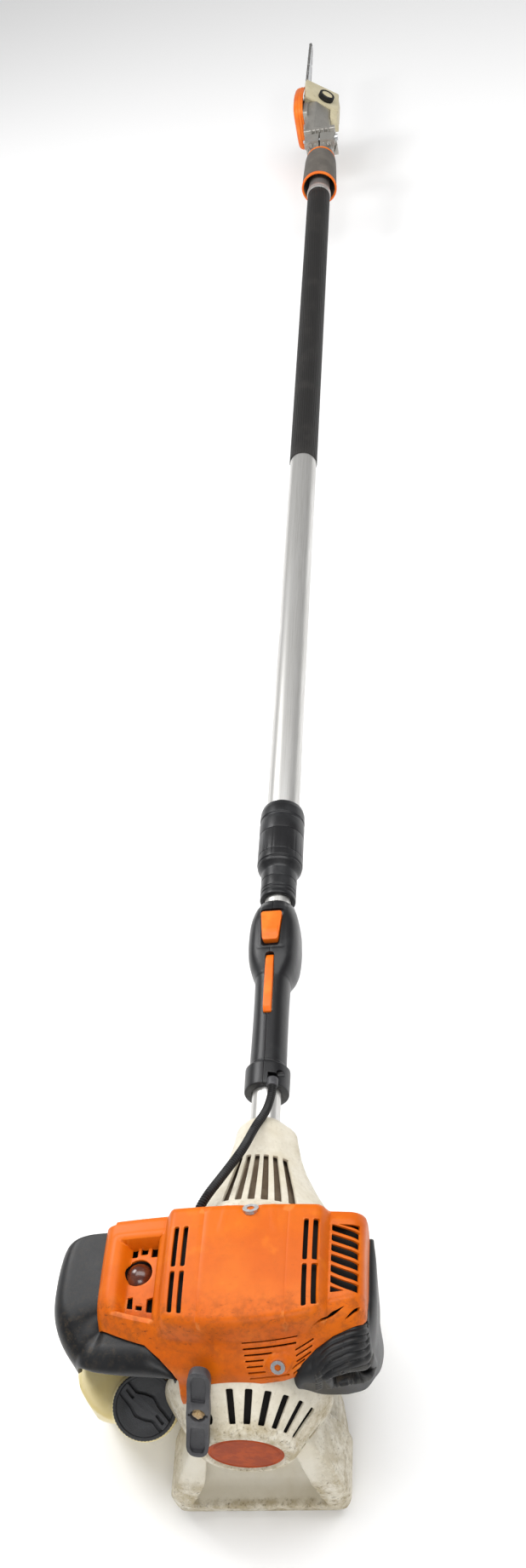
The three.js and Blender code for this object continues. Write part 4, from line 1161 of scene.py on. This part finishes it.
def make_tank(tank, cap):
    side = prism([(-161, -112), (34, -112), (34, -66), (-58, -66), (-82, -18), (-160, -18), (-163, -50)],
                 -66, 46, "Y", 9)
    plan = prism([(-162, 46), (36, 46), (36, -46), (-92, -46), (-92, -64), (-122, -64), (-142, -53),
                  (-157, -32), (-162, -6)], -120, 0, "Z", 9)
    undercut = prism([(-68, 0), (-68, -14), (-62, -30), (-48, -52), (-32, -80), (-20, -112), (47, -112),
                      (47, 0)], -170, 40, "X", 8)
    neck = rod(29, -48, 1, "Z", 64, 1, CAP_POSE)
    body = moulded(join(combined("INTERSECT", side, plan, undercut), neck), 1.8, 5)
    shaped("fuel_tank_body", body, tank, "powerhead", ["fuel_tank"], smooth=70)
    rim = [(0, -13), (19, -13), (19, 3.6), (26.6, 3.6), (27.3, 6), (27.4, 12.4), (26.6, 13.6), (24.6, 13.4),
           (24.0, 12.2), (0, 12.4)]

    def knurl(angles, along, radius):
        return 0.22 * np.cos(angles * 60) * (radius > 26.4) * (along > 4)

    plate = lathe(rim, 0.5, 240, "Z", CAP_POSE, knurl)
    bar_side = [(-14.8, 19.6), (-7.5, 10.5), (0, 9), (6.8, 6.3), (11, -1.5), (20.4, -12.8)]
    well_side = [(-12.2, 21.2), (-5.7, 12.9), (0.8, 11.6), (8.8, 8.2), (13.6, -0.4), (22, -10.6)]
    bar = prism(bar_side + [(-x, -y) for x, y in bar_side], 8, 13.9, "Z", 1.8, CAP_POSE)
    well = prism(well_side + [(-x, -y) for x, y in well_side], 8.6, 16, "Z", 1.5, CAP_POSE)
    slots = [prism([(k * x, k * y) for x, y in ((-16.4, 13.6), (-10.6, 6.0), (-8.6, 7.6), (-14.4, 15.2))],
                   9, 16, "Z", 0.9, CAP_POSE) for k in (1, -1)]
    knob = cut(join(cut(plate, well), bar), *slots)
    shaped("fuel_filler", knob, cap, "fuel_filler_cap", ["fuel_cap"], bevel=0.5, segments=2)


def make_grip(material, rope):
    side = [(9.6, 0), (9.0, 16), (9.4, 32), (8.6, 38.5), (5.6, 42.8), (2, 44)]
    half = [(-x, z) for x, z in side[:0:-1]] + [(-9.6, 0)]
    upper = side[1:] + half[:-1]
    lower = [(-x, -z) for x, z in side[1:]] + [(x, -z) for x, z in side[:0:-1]]
    pill = upper + [(-9.6, 0)] + lower + [(9.6, 0)]
    bar = prism(pill, -5, 3, "Y", 2.4, GRIP_POSE)
    panels = []
    for sign in (1, -1):
        panel = [(-5.6, 13 * sign), (5.6, 13 * sign), (6.2, 34 * sign), (4.4, 39.5 * sign),
                 (-4.4, 39.5 * sign), (-6.2, 34 * sign)]
        panels.append(prism(panel, -9, -2.4, "Y", 1.8, GRIP_POSE))
    eye = rod(6.4, -12, -0.5, "Y", 40, pose=GRIP_POSE)
    notches = [prism(quad(x, x + 4, -1.4, 1.4, 0.6), -9, -2.4, "Y", 0, GRIP_POSE) for x in (4, -8)]
    bar = cut(bar, *panels, eye, *notches)
    shaped("pull_handle", bar, material, "pull_grip", ["starter_grip"], bevel=0.9,
           segments=3)

    def lumps(angles, along, radius):
        swell = 0.55 * np.sin(angles * 3 + along * 1.7) + 0.35 * np.sin(angles * 5 - along * 2.6)
        return swell * (radius > 2.6)

    ball = [(0, -5.4)] + [(4.7 * math.sin(a), -1.6 - 3.8 * math.cos(a)) for a in np.linspace(0.25, 2.3, 12)]
    knot = lathe(ball + [(2.3, 1.2), (2.3, 29), (0, 29)], 0, 40, "Y", GRIP_POSE, lumps)
    shaped("pull_rope", knot, rope, "pull_grip", ["starter_rope"])


def make_badge(material):
    badge = [(0, -100.4), (27, -100.2), (28.4, -99.4), (29.6, -99.4), (30.2, -100.0), (31.4, -99.8),
             (32, -98.9), (32, -97.8), (0, -97.8)]
    shaped("rear_badge", lathe(badge, 0.3, 96), material, "powerhead", ["starter_badge"])


def make_primer(material):
    bulb = [(0, 18)] + [(12 * math.cos(a), 6 + 12 * math.sin(a)) for a in np.linspace(1.45, 0.0, 12)]
    dome = lathe(bulb + [(12, 0.2), (0, 0.2)], 0, 48, "Z", at(-83, 18, 71))
    shaped("primer_dome", dome, material, "primer", ["primer_bulb"], smooth=60)


def make_choke(material):
    pivot = rod(6, 58.3, 66, "Y", 36, 0.6, at(-138, 0, 44))
    lever = join(pivot, prism(quad(-142, -134, 20, 46, 3), 62, 66, "Y"))
    shaped("choke_tab", lever, material, "choke", ["choke_lever"], bevel=0.6)


CONDUIT_ROUTE = [(9, 246, 18.8), (9, 228, 20.5), (6, 206, 27), (-1, 182, 38), (-8, 150, 54), (-20, 118, 68),
                 (-31, 90, 80), (-38, 70, 83.5), (-40, 54, 83)]
CONDUIT_R = 4.2
CORRUGATION = 2.6      # pitch of the rings


def make_conduit(material, sleeve):
    line = spline(CONDUIT_ROUTE, 240)
    steps = travel(line)
    length = steps[-1]
    count = int(length / CORRUGATION) * 5
    places = np.linspace(0, length, count)
    path = np.stack([np.interp(places, steps, line[:, k]) for k in range(3)], 1)
    radii = CONDUIT_R - 0.55 + 0.55 * np.cos(places / CORRUGATION * 2 * math.pi)
    tube = sweep(path, radii, 20)
    piece = shaped("throttle_conduit_tube", tube, material, "powerhead", ["throttle_conduit"],
                   smooth=60)
    sparse = path[::8]
    sparse = np.vstack([sparse, path[-1:]]) if len(path) % 8 != 1 else sparse
    tuple(to_frame(path[0]))
    [tuple(v) for v in to_frame(sparse)]
    boot = sweep([(9, 236 + i, 19.6 - 0.1 * i) for i in range(0, 10, 3)], [5.3, 5.5, 5.5, 5.5], 24)
    shaped("conduit_boot", boot, sleeve, "powerhead", bevel=0.6)


# ---------------------------------------------------------------- handle and pole
# Each station: y, half width, top, bottom, and the power that squares the section.
HANDLE_STATIONS = [(240, 21.3, 21.3, 23, 1.0), (243, 21.8, 22, 23.6, 1.0), (262, 22, 22.2, 24, 1.0),
                   (265, 21.4, 21.6, 23.4, 1.0), (268, 18.4, 20.2, 21.4, 1.0), (276, 17.9, 20.3, 21, 1.0),
                   (320, 17.4, 21, 21, 0.96), (362, 17.6, 21.8, 22, 0.88), (371, 18.6, 22.6, 25, 0.8),
                   (382, 22.6, 24.4, 31, 0.7), (394, 25.2, 26.0, 34.6, 0.66), (410, 26.3, 26.9, 36, 0.66),
                   (428, 25.9, 27, 35, 0.66), (440, 24.8, 26.6, 33.6, 0.7), (452, 22.4, 25, 28.6, 0.8),
                   (459, 20.3, 22.2, 24, 0.92), (462, 19.4, 20.8, 22.8, 0.95)]
HANDLE_BOLT = at(0, 425, -25)


def make_handle(material, orange, trigger_material, steel):
    table = spline(HANDLE_STATIONS, 170)
    count = 96
    angles = around(count)
    rings = []
    for y, half, top, bottom, power in table:
        c, s = np.cos(angles), np.sin(angles)
        x = half * np.sign(c) * np.abs(c) ** power
        z = np.where(s > 0, top, bottom) * np.sign(s) * np.abs(s) ** power
        groove = 0.7 * np.exp(-((y - 398) / 0.9) ** 2) * (np.abs(x) < 13.5) * (s > 0)
        groove = groove + 0.8 * np.exp(-((y - 266.5) / 0.8) ** 2)
        beside = np.abs(np.abs(x) - 13.8)
        groove = groove + 0.6 * np.exp(-(beside / 0.8) ** 2) * (398 < y < 460) * (s > 0)
        scale = 1 - groove / np.hypot(x, z)
        rings.append(np.stack([x * scale, np.full(count, y), z * scale], 1))
    whole = loft(rings)
    cutters = [rod(14.6, 230, 470, "Y", 48),
               prism(quad(-4.7, 4.7, 320, 392, 4), 12, 40, "Z"),
               prism([(-8.8, 399.2), (8.8, 399.2), (12.2, 447.4), (-12.2, 447.4)], 22, 40, "Z", 3),
               prism(quad(-5.6, 5.6, 296, 385, 2), -60, -16, "Z"),
               rod(5.6, 230, 252, "Y", 32, pose=at(9, 0, 18.8)),
               rod(5.6, -40, 40, "X", 24, pose=HANDLE_BOLT),
               rod(3.6, 12, 40, "X", 24, pose=at(0, 253, 15)),
               prism(quad(-0.25, 0.25, 200, 500, 0.1), -80, 80, "Z")]
    whole = cut(whole, *cutters)
    shaped("handle_shells", whole, material, "powerhead", ["handle_shell_left",
                                                                            "handle_shell_right"],
           bevel=0.35, limit=60)
    pin = [(0, 10), (2.6, 10), (2.6, 20.5), (4.8, 20.5), (4.8, 23), (4.2, 23.4), (2.4, 23.4), (2.2, 21.4),
           (0, 21.4)]
    bolt = lathe(pin, 0.3, 36, "X", HANDLE_BOLT)
    shaped("handle_bolt", bolt, steel, "powerhead", ["handle_screw"])
    lock = [(321.4, 18.6), (390.6, 18.6), (390.6, 22.4), (384, 25.6), (372, 26.4), (336, 25.8), (326, 25.2),
            (321.4, 22)]
    shaped("lockout_bar", prism(lock, -4.1, 4.1, "X", 1.6), orange, "lockout",
           ["trigger_lockout"], bevel=1.1, segments=4)
    slide = prism([(-8, 405), (8, 405), (11, 441), (-11, 441)], 22.4, 29.6, "Z", 3.2)
    hump = prism([(407, 28), (412, 30.3), (418, 30.5), (424, 29.2), (426, 28)], -7.6, 7.6, "X", 1)
    shaped("stop_button", join(slide, hump), orange, "stop_button", ["stop_slide"],
           bevel=0.9, segments=3)
    lever = prism([(300, -32), (378, -20.5), (384, -27), (374, -33), (356, -47), (330, -51), (304, -43)],
                  -5.0, 5.0, "X", 5)
    shaped("trigger_lever", lever, trigger_material, "trigger", ["throttle_trigger"],
           bevel=1.4, segments=3)


def make_pole(metal, black, hose, cup, orange):
    tube = lathe([(14, 120), (14, 1950), (12, 1950), (12, 120)], 0.2, 96)
    shaped("rear_tube", tube, metal, "powerhead", ["inner_tube"])
    tube = lathe([(18, 520), (18, 2125), (16.4, 2125), (16.4, 520)], 0.2, 96)
    shaped("front_tube", tube, metal, "outer_pole", ["outer_tube"])
    nut = [(18.4, 475), (19, 476), (19, 480), (18.2, 480.6), (18.2, 482.2), (19, 482.8), (19, 485),
           (18.4, 485.6), (18.4, 486.8), (19, 487.4), (19, 499), (18.6, 499.5), (19.2, 500), (19.2, 511),
           (20, 513), (23.2, 518), (24, 520.5), (23.5, 522), (24.6, 523.5), (24.6, 532), (24.1, 532.6),
           (24.6, 533.2), (24.5, 562), (18.4, 562), (18.4, 518), (14.5, 516), (14.5, 475)]

    def flutes(angles, along, radius):
        return -0.35 * np.abs(np.sin(angles * 9)) ** 14 * (along > 524) * (along < 561) * (radius > 23)

    shaped("clamp_sleeve", lathe(nut, 0.5, 216, "Y", None, flutes), black, "pole_clamp",
           ["clamp_nut"])
    body = [(24.5, 562.3), (24.6, 580), (23.7, 581), (23.7, 584), (24.6, 585), (24.2, 596), (22.8, 601.5),
            (21.8, 603), (18.4, 603), (18.4, 562.3)]
    shaped("clamp_collar", lathe(body, 0.5, 96), black, "outer_pole", ["clamp_body"])

    def ribs(angles, along, radius):
        twist = 0.0009 * np.maximum(0, along - 1500)
        return -0.55 * (0.5 - 0.5 * np.cos((angles + twist) * 38)) ** 3 * (radius > 18.6)

    outline = [(19, y) for y in np.arange(1250, 2006, 12.58)] + [(18.35, 2005), (18.35, 1250)]
    shaped("hose_grip", lathe(outline, 0, 264, "Y", None, ribs), hose, "outer_pole",
           ["grip_hose"], smooth=60)
    ring = [(19.6, 2005.4), (20, 2007), (20, 2011), (19.5, 2012), (20, 2013), (20, 2018), (19.4, 2020),
            (18.4, 2020), (18.4, 2005.4)]
    shaped("hose_end_ring", lathe(ring, 0.4, 72), metal, "outer_pole", ["hose_ring"])
    shell = [(29.1, 2040), (29.2, 2046), (28.4, 2080), (27.2, 2118), (26.2, 2130), (24.6, 2134.6),
             (18.4, 2135), (18.4, 2118), (23, 2116), (24.4, 2110), (26.7, 2040)]
    shaped("guard_cup", lathe(shell, 1.2, 96), cup, "outer_pole", ["protective_cup"])
    rim = [(28.4, 2034), (30, 2035), (29.8, 2039.4), (29, 2039.7), (26.7, 2039.7), (26.7, 2034.4)]
    shaped("guard_cup_rim", lathe(rim, 0.7, 96), orange, "outer_pole", ["cup_rim"])
    washer = [(25, 2135.3), (25, 2139), (18.4, 2139), (18.4, 2135.3)]
    shaped("cup_face_ring", lathe(washer, 0.5, 72), orange, "outer_pole", ["cup_washer"])


# ---------------------------------------------------------------- cutting head
def make_gear_housing(material):
    sleeve = lathe([(18, 2139.4), (22, 2139.4), (22.4, 2150), (22, 2205), (10, 2205), (10, 2139.4)], 0.6, 64)
    ears = prism([(-27, 12), (-27, 24), (-10, 26.5), (10, 26.5), (27, 24), (27, 12)], 2158, 2186, "Y", 3)
    shoulder = prism([(2196, -22), (2204, -26), (2214, -26), (2214, 25), (2204, 25)], -29, 26, "X", 2)
    block = prism([(-29, -26), (-29, 25), (-10, 25), (13.5, 4), (13.5, -26)], 2206, 2318, "Y", 2.5)
    plate = prism([(2262, -34), (2378, -30), (2378, 12), (2318, 12), (2310, 30), (2262, 34)], -31.3, -24,
                  "X", 4)
    boss = rod(12, -31.2, -27, "X", 40, 0.5, at(0, 2240, 8))
    parts = []
    for side in (-1, 1):
        for low in (19, 4, -8):
            fin = [(side * 16, 2150), (side * 20, 2149), (side * 26.5, 2200), (side * 26.5, 2208),
                   (side * 14, 2208)]
            parts.append(prism(fin, low, low + 2.4, "Z", 1))
    for x in (-15, -7.5, 0, 7.5, 15):
        rib = [(2152, 18), (2158, 22), (2199, 27.2), (2206, 27.2), (2206, 18)]
        parts.append(prism(rib, x - 1.0, x + 1.0, "X", 1))
    body = join(sleeve, ears, shoulder, block, plate, *parts, boss)
    bore = lathe([(0, 2100), (17.9, 2100), (17.9, 2146), (9.5, 2150), (9.5, 2260), (0, 2260)], 0, 40)
    split = prism(quad(-1.2, 1.2, 2130, 2190, 0.5), 10, 40, "Z")
    body = cut(body, bore, split)
    shaped("head_casting", body, material, "outer_pole", ["gear_housing"], bevel=0.9,
           segments=3)


BAR_STUD = at(0, 2342, -5)


def make_sprocket_cover(material):
    rim = [(2264, 28), (2276, 40), (2326, 41), (2378, 30), (2392, 14), (2392, -28), (2366, -43), (2300, -48),
           (2270, -42), (2264, -28)]
    loop = rounded(rim, 14, 5)
    middle = np.array([2328, -4])
    layers = [(-31.9, 1.0), (-33.4, 1.0), (-33.9, 0.985), (-35.4, 0.985), (-35.9, 1.0), (-39, 0.998),
              (-39.6, 0.982), (-40.8, 0.982), (-41.4, 0.992), (-45.4, 0.965), (-48.2, 0.92), (-49.5, 0.86),
              (-50, 0.78)]
    rings = []
    for x, scale in layers:
        ring = middle + (loop - middle) * scale
        rings.append(np.stack([np.full(len(ring), x), ring[:, 0], ring[:, 1]], 1))
    hollow = prism(middle + (loop - middle) * 0.93, -46.6, -30, "X")
    exit_gap = prism(quad(2376, 2405, -34, 24, 2), -40, -29, "X")
    pocket = rod(10.4, -60, -43.5, "X", 48, pose=BAR_STUD)
    boss = rod(13, -47, -38, "X", 48, pose=BAR_STUD)
    stud = rod(4.6, -60, -36, "X", 24, pose=BAR_STUD)
    body = cut(join(cut(loft(rings), hollow, exit_gap), boss), pocket, stud)
    shaped("chain_cover", body, material, "outer_pole", ["sprocket_cover"], bevel=0.4,
           smooth=30)


HALF_PITCH = 4.76      # of the saw chain


def make_bar_and_chain(bar_metal, chain_metal):
    half = [(2318, 14), (2350, 15.5), (2400, 14.5), (2450, 12.5), (2530, 9), (2600, 6), (2628, 4)]
    outline = [(y, -6 - z) for y, z in half] + [(2636, -6)] + [(y, z - 6) for y, z in half[::-1]]
    bar = prism(outline, -35.5, -32, "X", 5)
    slot = prism(quad(2332, 2366, -9, -1, 3.9), -40, -28, "X")
    holes = [rod(1.8, -40, -28, "X", 20, pose=at(0, y, z))
             for y, z in ((2376, 2), (2606, -6))]
    shaped("bar_blade", cut(bar, slot, *holes), bar_metal, "outer_pole", ["guide_bar"],
           bevel=0.5)
    nose = [(2296, 14.6), (2285.7, 10.3), (2281.4, 0), (2285.7, -10.3), (2296, -14.6)]
    inner = nose + [(2306, -20)] + [(y, -z - 6.6) for y, z in half[1:]] + [(2636.8, -6)]
    inner += [(y, z - 5.4) for y, z in half[:0:-1]]
    track = resampled(rounded(inner, 5), HALF_PITCH)
    points = []
    faces = []
    for i in range(len(track)):
        here = track[i]
        ahead = track[(i + 1) % len(track)] - track[i - 1]
        ahead /= np.linalg.norm(ahead)
        outward = np.array([ahead[1], -ahead[0]])
        if i % 2:
            plates = [(-34.5, -33.0)]
            shape = [(-2.6, 0.4), (2.6, 0.4), (3.4, 3.0), (0.8, 4.7), (-3.4, 3.0)]
        elif i % 8 == 0:
            plates = [(-36.1, -34.9)]
            shape = [(-4.4, 0.5), (4.4, 0.5), (4.8, 3.6), (2.6, 5.3), (1.0, 3.2), (-1.6, 3.2), (-3.0, 4.6),
                     (-4.6, 2.4)]
        else:
            plates = [(-36.0, -34.9), (-32.8, -31.8)]
            shape = [(-4.4, 0.6), (4.4, 0.6), (4.9, 2.0), (4.0, 3.6), (1.2, 3.0), (-1.2, 3.0), (-4.0, 3.6),
                     (-4.9, 2.0)]
        for low, high in plates:
            start = len(points)
            for x in (low, high):
                for t, n in shape:
                    spot = here + ahead * t + outward * n
                    points.append((x, spot[0], spot[1]))
            faces += [tuple(start + k for k in face) for face in capped(2, len(shape))]
    mesh = solid_mesh(points, faces)
    shaped("cutting_chain", mesh, chain_metal, "outer_pole", ["saw_chain"], bevel=0.2,
           segments=1)


def make_oil_tank(tank, cap, insert):
    pose = turn(0, 0.599, (-1.8, 2342, 6.2))
    block = prism([(-22, -26), (-22, 32.9), (25.5, 0.5), (25.5, -26)], 2320, 2386, "Y", 3)
    shoulder = prism([(-31.1, 12.9), (-31.1, 33.5), (-27, 36.3), (-15, 28.1), (-15, 12.9)], 2320, 2386, "Y",
                     2)
    flank = prism([(13.9, -22), (13.9, 8.4), (25.5, 0.5), (25.5, -22)], 2284, 2330, "Y", 1.5)
    flange = prism([(-31.4, 30), (-27.2, 37), (26.3, 0.6), (26.3, -4), (-27, 32)], 2318.6, 2387, "Y", 1)
    neck = rod(13.2, -6, 11.2, "Z", 48, 1, pose)
    body = join(block, shoulder, flank, flange, neck)
    shaped("oil_tank_body", body, tank, "outer_pole", ["oil_tank"], bevel=2.6, segments=4,
           limit=25)

    def knurl(angles, along, radius):
        return 0.3 * np.cos(angles * 36) * (radius > 13.7)

    knob = lathe([(0, -1), (8.5, -1), (8.5, 11.6), (13.4, 11.6), (14.2, 13), (14.2, 20.8), (13.2, 22),
                  (11, 22), (10.6, 20), (0, 20)], 0.4, 144, "Z", pose, knurl)
    shaped("oil_cap_knob", knob, cap, "oil_filler_cap", ["oil_cap"], smooth=45)
    tab = join(rod(10.2, 20.1, 20.9, "Z", 48, 0.3, pose),
               prism(quad(-9, 9, -2.4, 2.4, 2), 20.4, 22.4, "Z", 0, pose))
    shaped("oil_cap_tab", tab, insert, "oil_filler_cap", bevel=0.4)


def dress_frame(plain, finishes):
    """Gives the CAD solids that still show a finish, plain where none is named, and soft edges."""
    for name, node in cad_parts.items():
        if node.hide_render:
            continue
        named = [material for material, names in finishes if name in names]
        node.data.materials.clear()
        node.data.materials.append(named[0] if named else plain)
        edge = node.modifiers.new("edge", "BEVEL")
        edge.width = 0.4 * MM
        edge.segments = 2
        edge.limit_method = "ANGLE"
        edge.angle_limit = math.radians(40)
        edge.harden_normals = True


# ---------------------------------------------------------------- the whole
make_camera()
make_studio()
ORANGE = orange_moulding()
CREAM = cream_moulding()
BLACK = black_moulding()
# Near-black for the sheets and lines that stand in for shade: painted shade, not a real part's colour.
SHADE_DARK = plain_moulding("painted_shade_dark", "120f0d", "241c15", "080706", 0.85, 0.1, 0.2)
TANK = tank_moulding()
CAP = plain_moulding("cap_moulding", "2b2c2e", "434447", "18181a", 0.5, 0.18, 0.7)
GREY = plain_moulding("grip_moulding", "38383b", "58585a", "222224", 0.42, 0.08, 0.5)
HANDLE = plain_moulding("handle_moulding", "131315", "2a2b2d", "0b0b0c", 0.33, 0.08, 0.45)
RUBBER = plain_moulding("soft_rubber", "0f0f10", "222223", "080808", 0.45, 0.05, 0.3)
HOSE = plain_moulding("hose_rubber_ribbed", "191817", "2c2a28", "0f0e0e", 0.5, 0.06, 0.3)
CUP = plain_moulding("cup_moulding", "5d5852", "716b64", "47423d", 0.6, 0.08, 0.35)
BRIGHT_ORANGE = plain_moulding("switch_orange", "e0660a", "ee8426", "c44e00", 0.42, 0.05, 0.3)
OIL_CREAM = plain_moulding("oil_tank_cream", "c9bf9f", "d8cfb2", "8d8058", 0.5, 0.08, 0.4)
METAL = tube_metal()
CAST = cast_alloy()
STEEL = turned_steel("bright_steel", "b9bbbd", "d4d6d8", "6b6660", 0.28)
DARK = turned_steel("oiled_steel", "5f5f61", "85868a", "2c2824", 0.38)
CHAIN = turned_steel("chain_steel", "8b8a88", "a9a9a9", "4a4540", 0.34)
make_shroud(ORANGE, SHADE_DARK)
make_shroud_shade_sheet(SHADE_DARK)
make_starter_housing(CREAM)
make_clutch_bell(CREAM)
make_cone_shade_sheets(SHADE_DARK, plain_moulding("bell_inside_shade", "6b5b49", "8a7b68", "2e251c", 0.8, 0.1, 0.3))
make_filter_cover(BLACK)
make_muffler_guard(BLACK)
make_filter_pad(fibre("filter_felt", "b8ad90", "cfc5aa", "857a60", 1.2))
make_stand(CREAM, SHADE_DARK)
make_tank(TANK, CAP)
make_grip(GREY, fibre("rope_fibre", "a5875c", "c9b189", "5d4528", 0.8))
make_badge(badge_moulding())
make_primer(bulb_rubber())
make_choke(HANDLE)
make_conduit(RUBBER, GREY)
make_handle(HANDLE, BRIGHT_ORANGE, RUBBER, STEEL)
make_pole(METAL, HANDLE, HOSE, CUP, BRIGHT_ORANGE)
make_gear_housing(CAST)
make_sprocket_cover(BRIGHT_ORANGE)
make_bar_and_chain(STEEL, CHAIN)
make_oil_tank(OIL_CREAM, RUBBER, OIL_CREAM)
dress_frame(CAST, [
    (STEEL, ["piston", "spark_plug", "neck_screw", "shroud_screw_front", "shroud_screw_rear", "crankshaft",
             "drive_shaft_rear", "housing_screw", "bar_stud", "cover_nut", "drive_shaft_front"]),
    (DARK, ["muffler", "rewind_spring", "clutch_shoes", "clutch_drum", "bevel_pinion", "sprocket_shaft",
            "chain_sprocket"]),
    (RUBBER, ["spark_plug_boot"]),
    (HANDLE, ["starter_pulley"]),
])
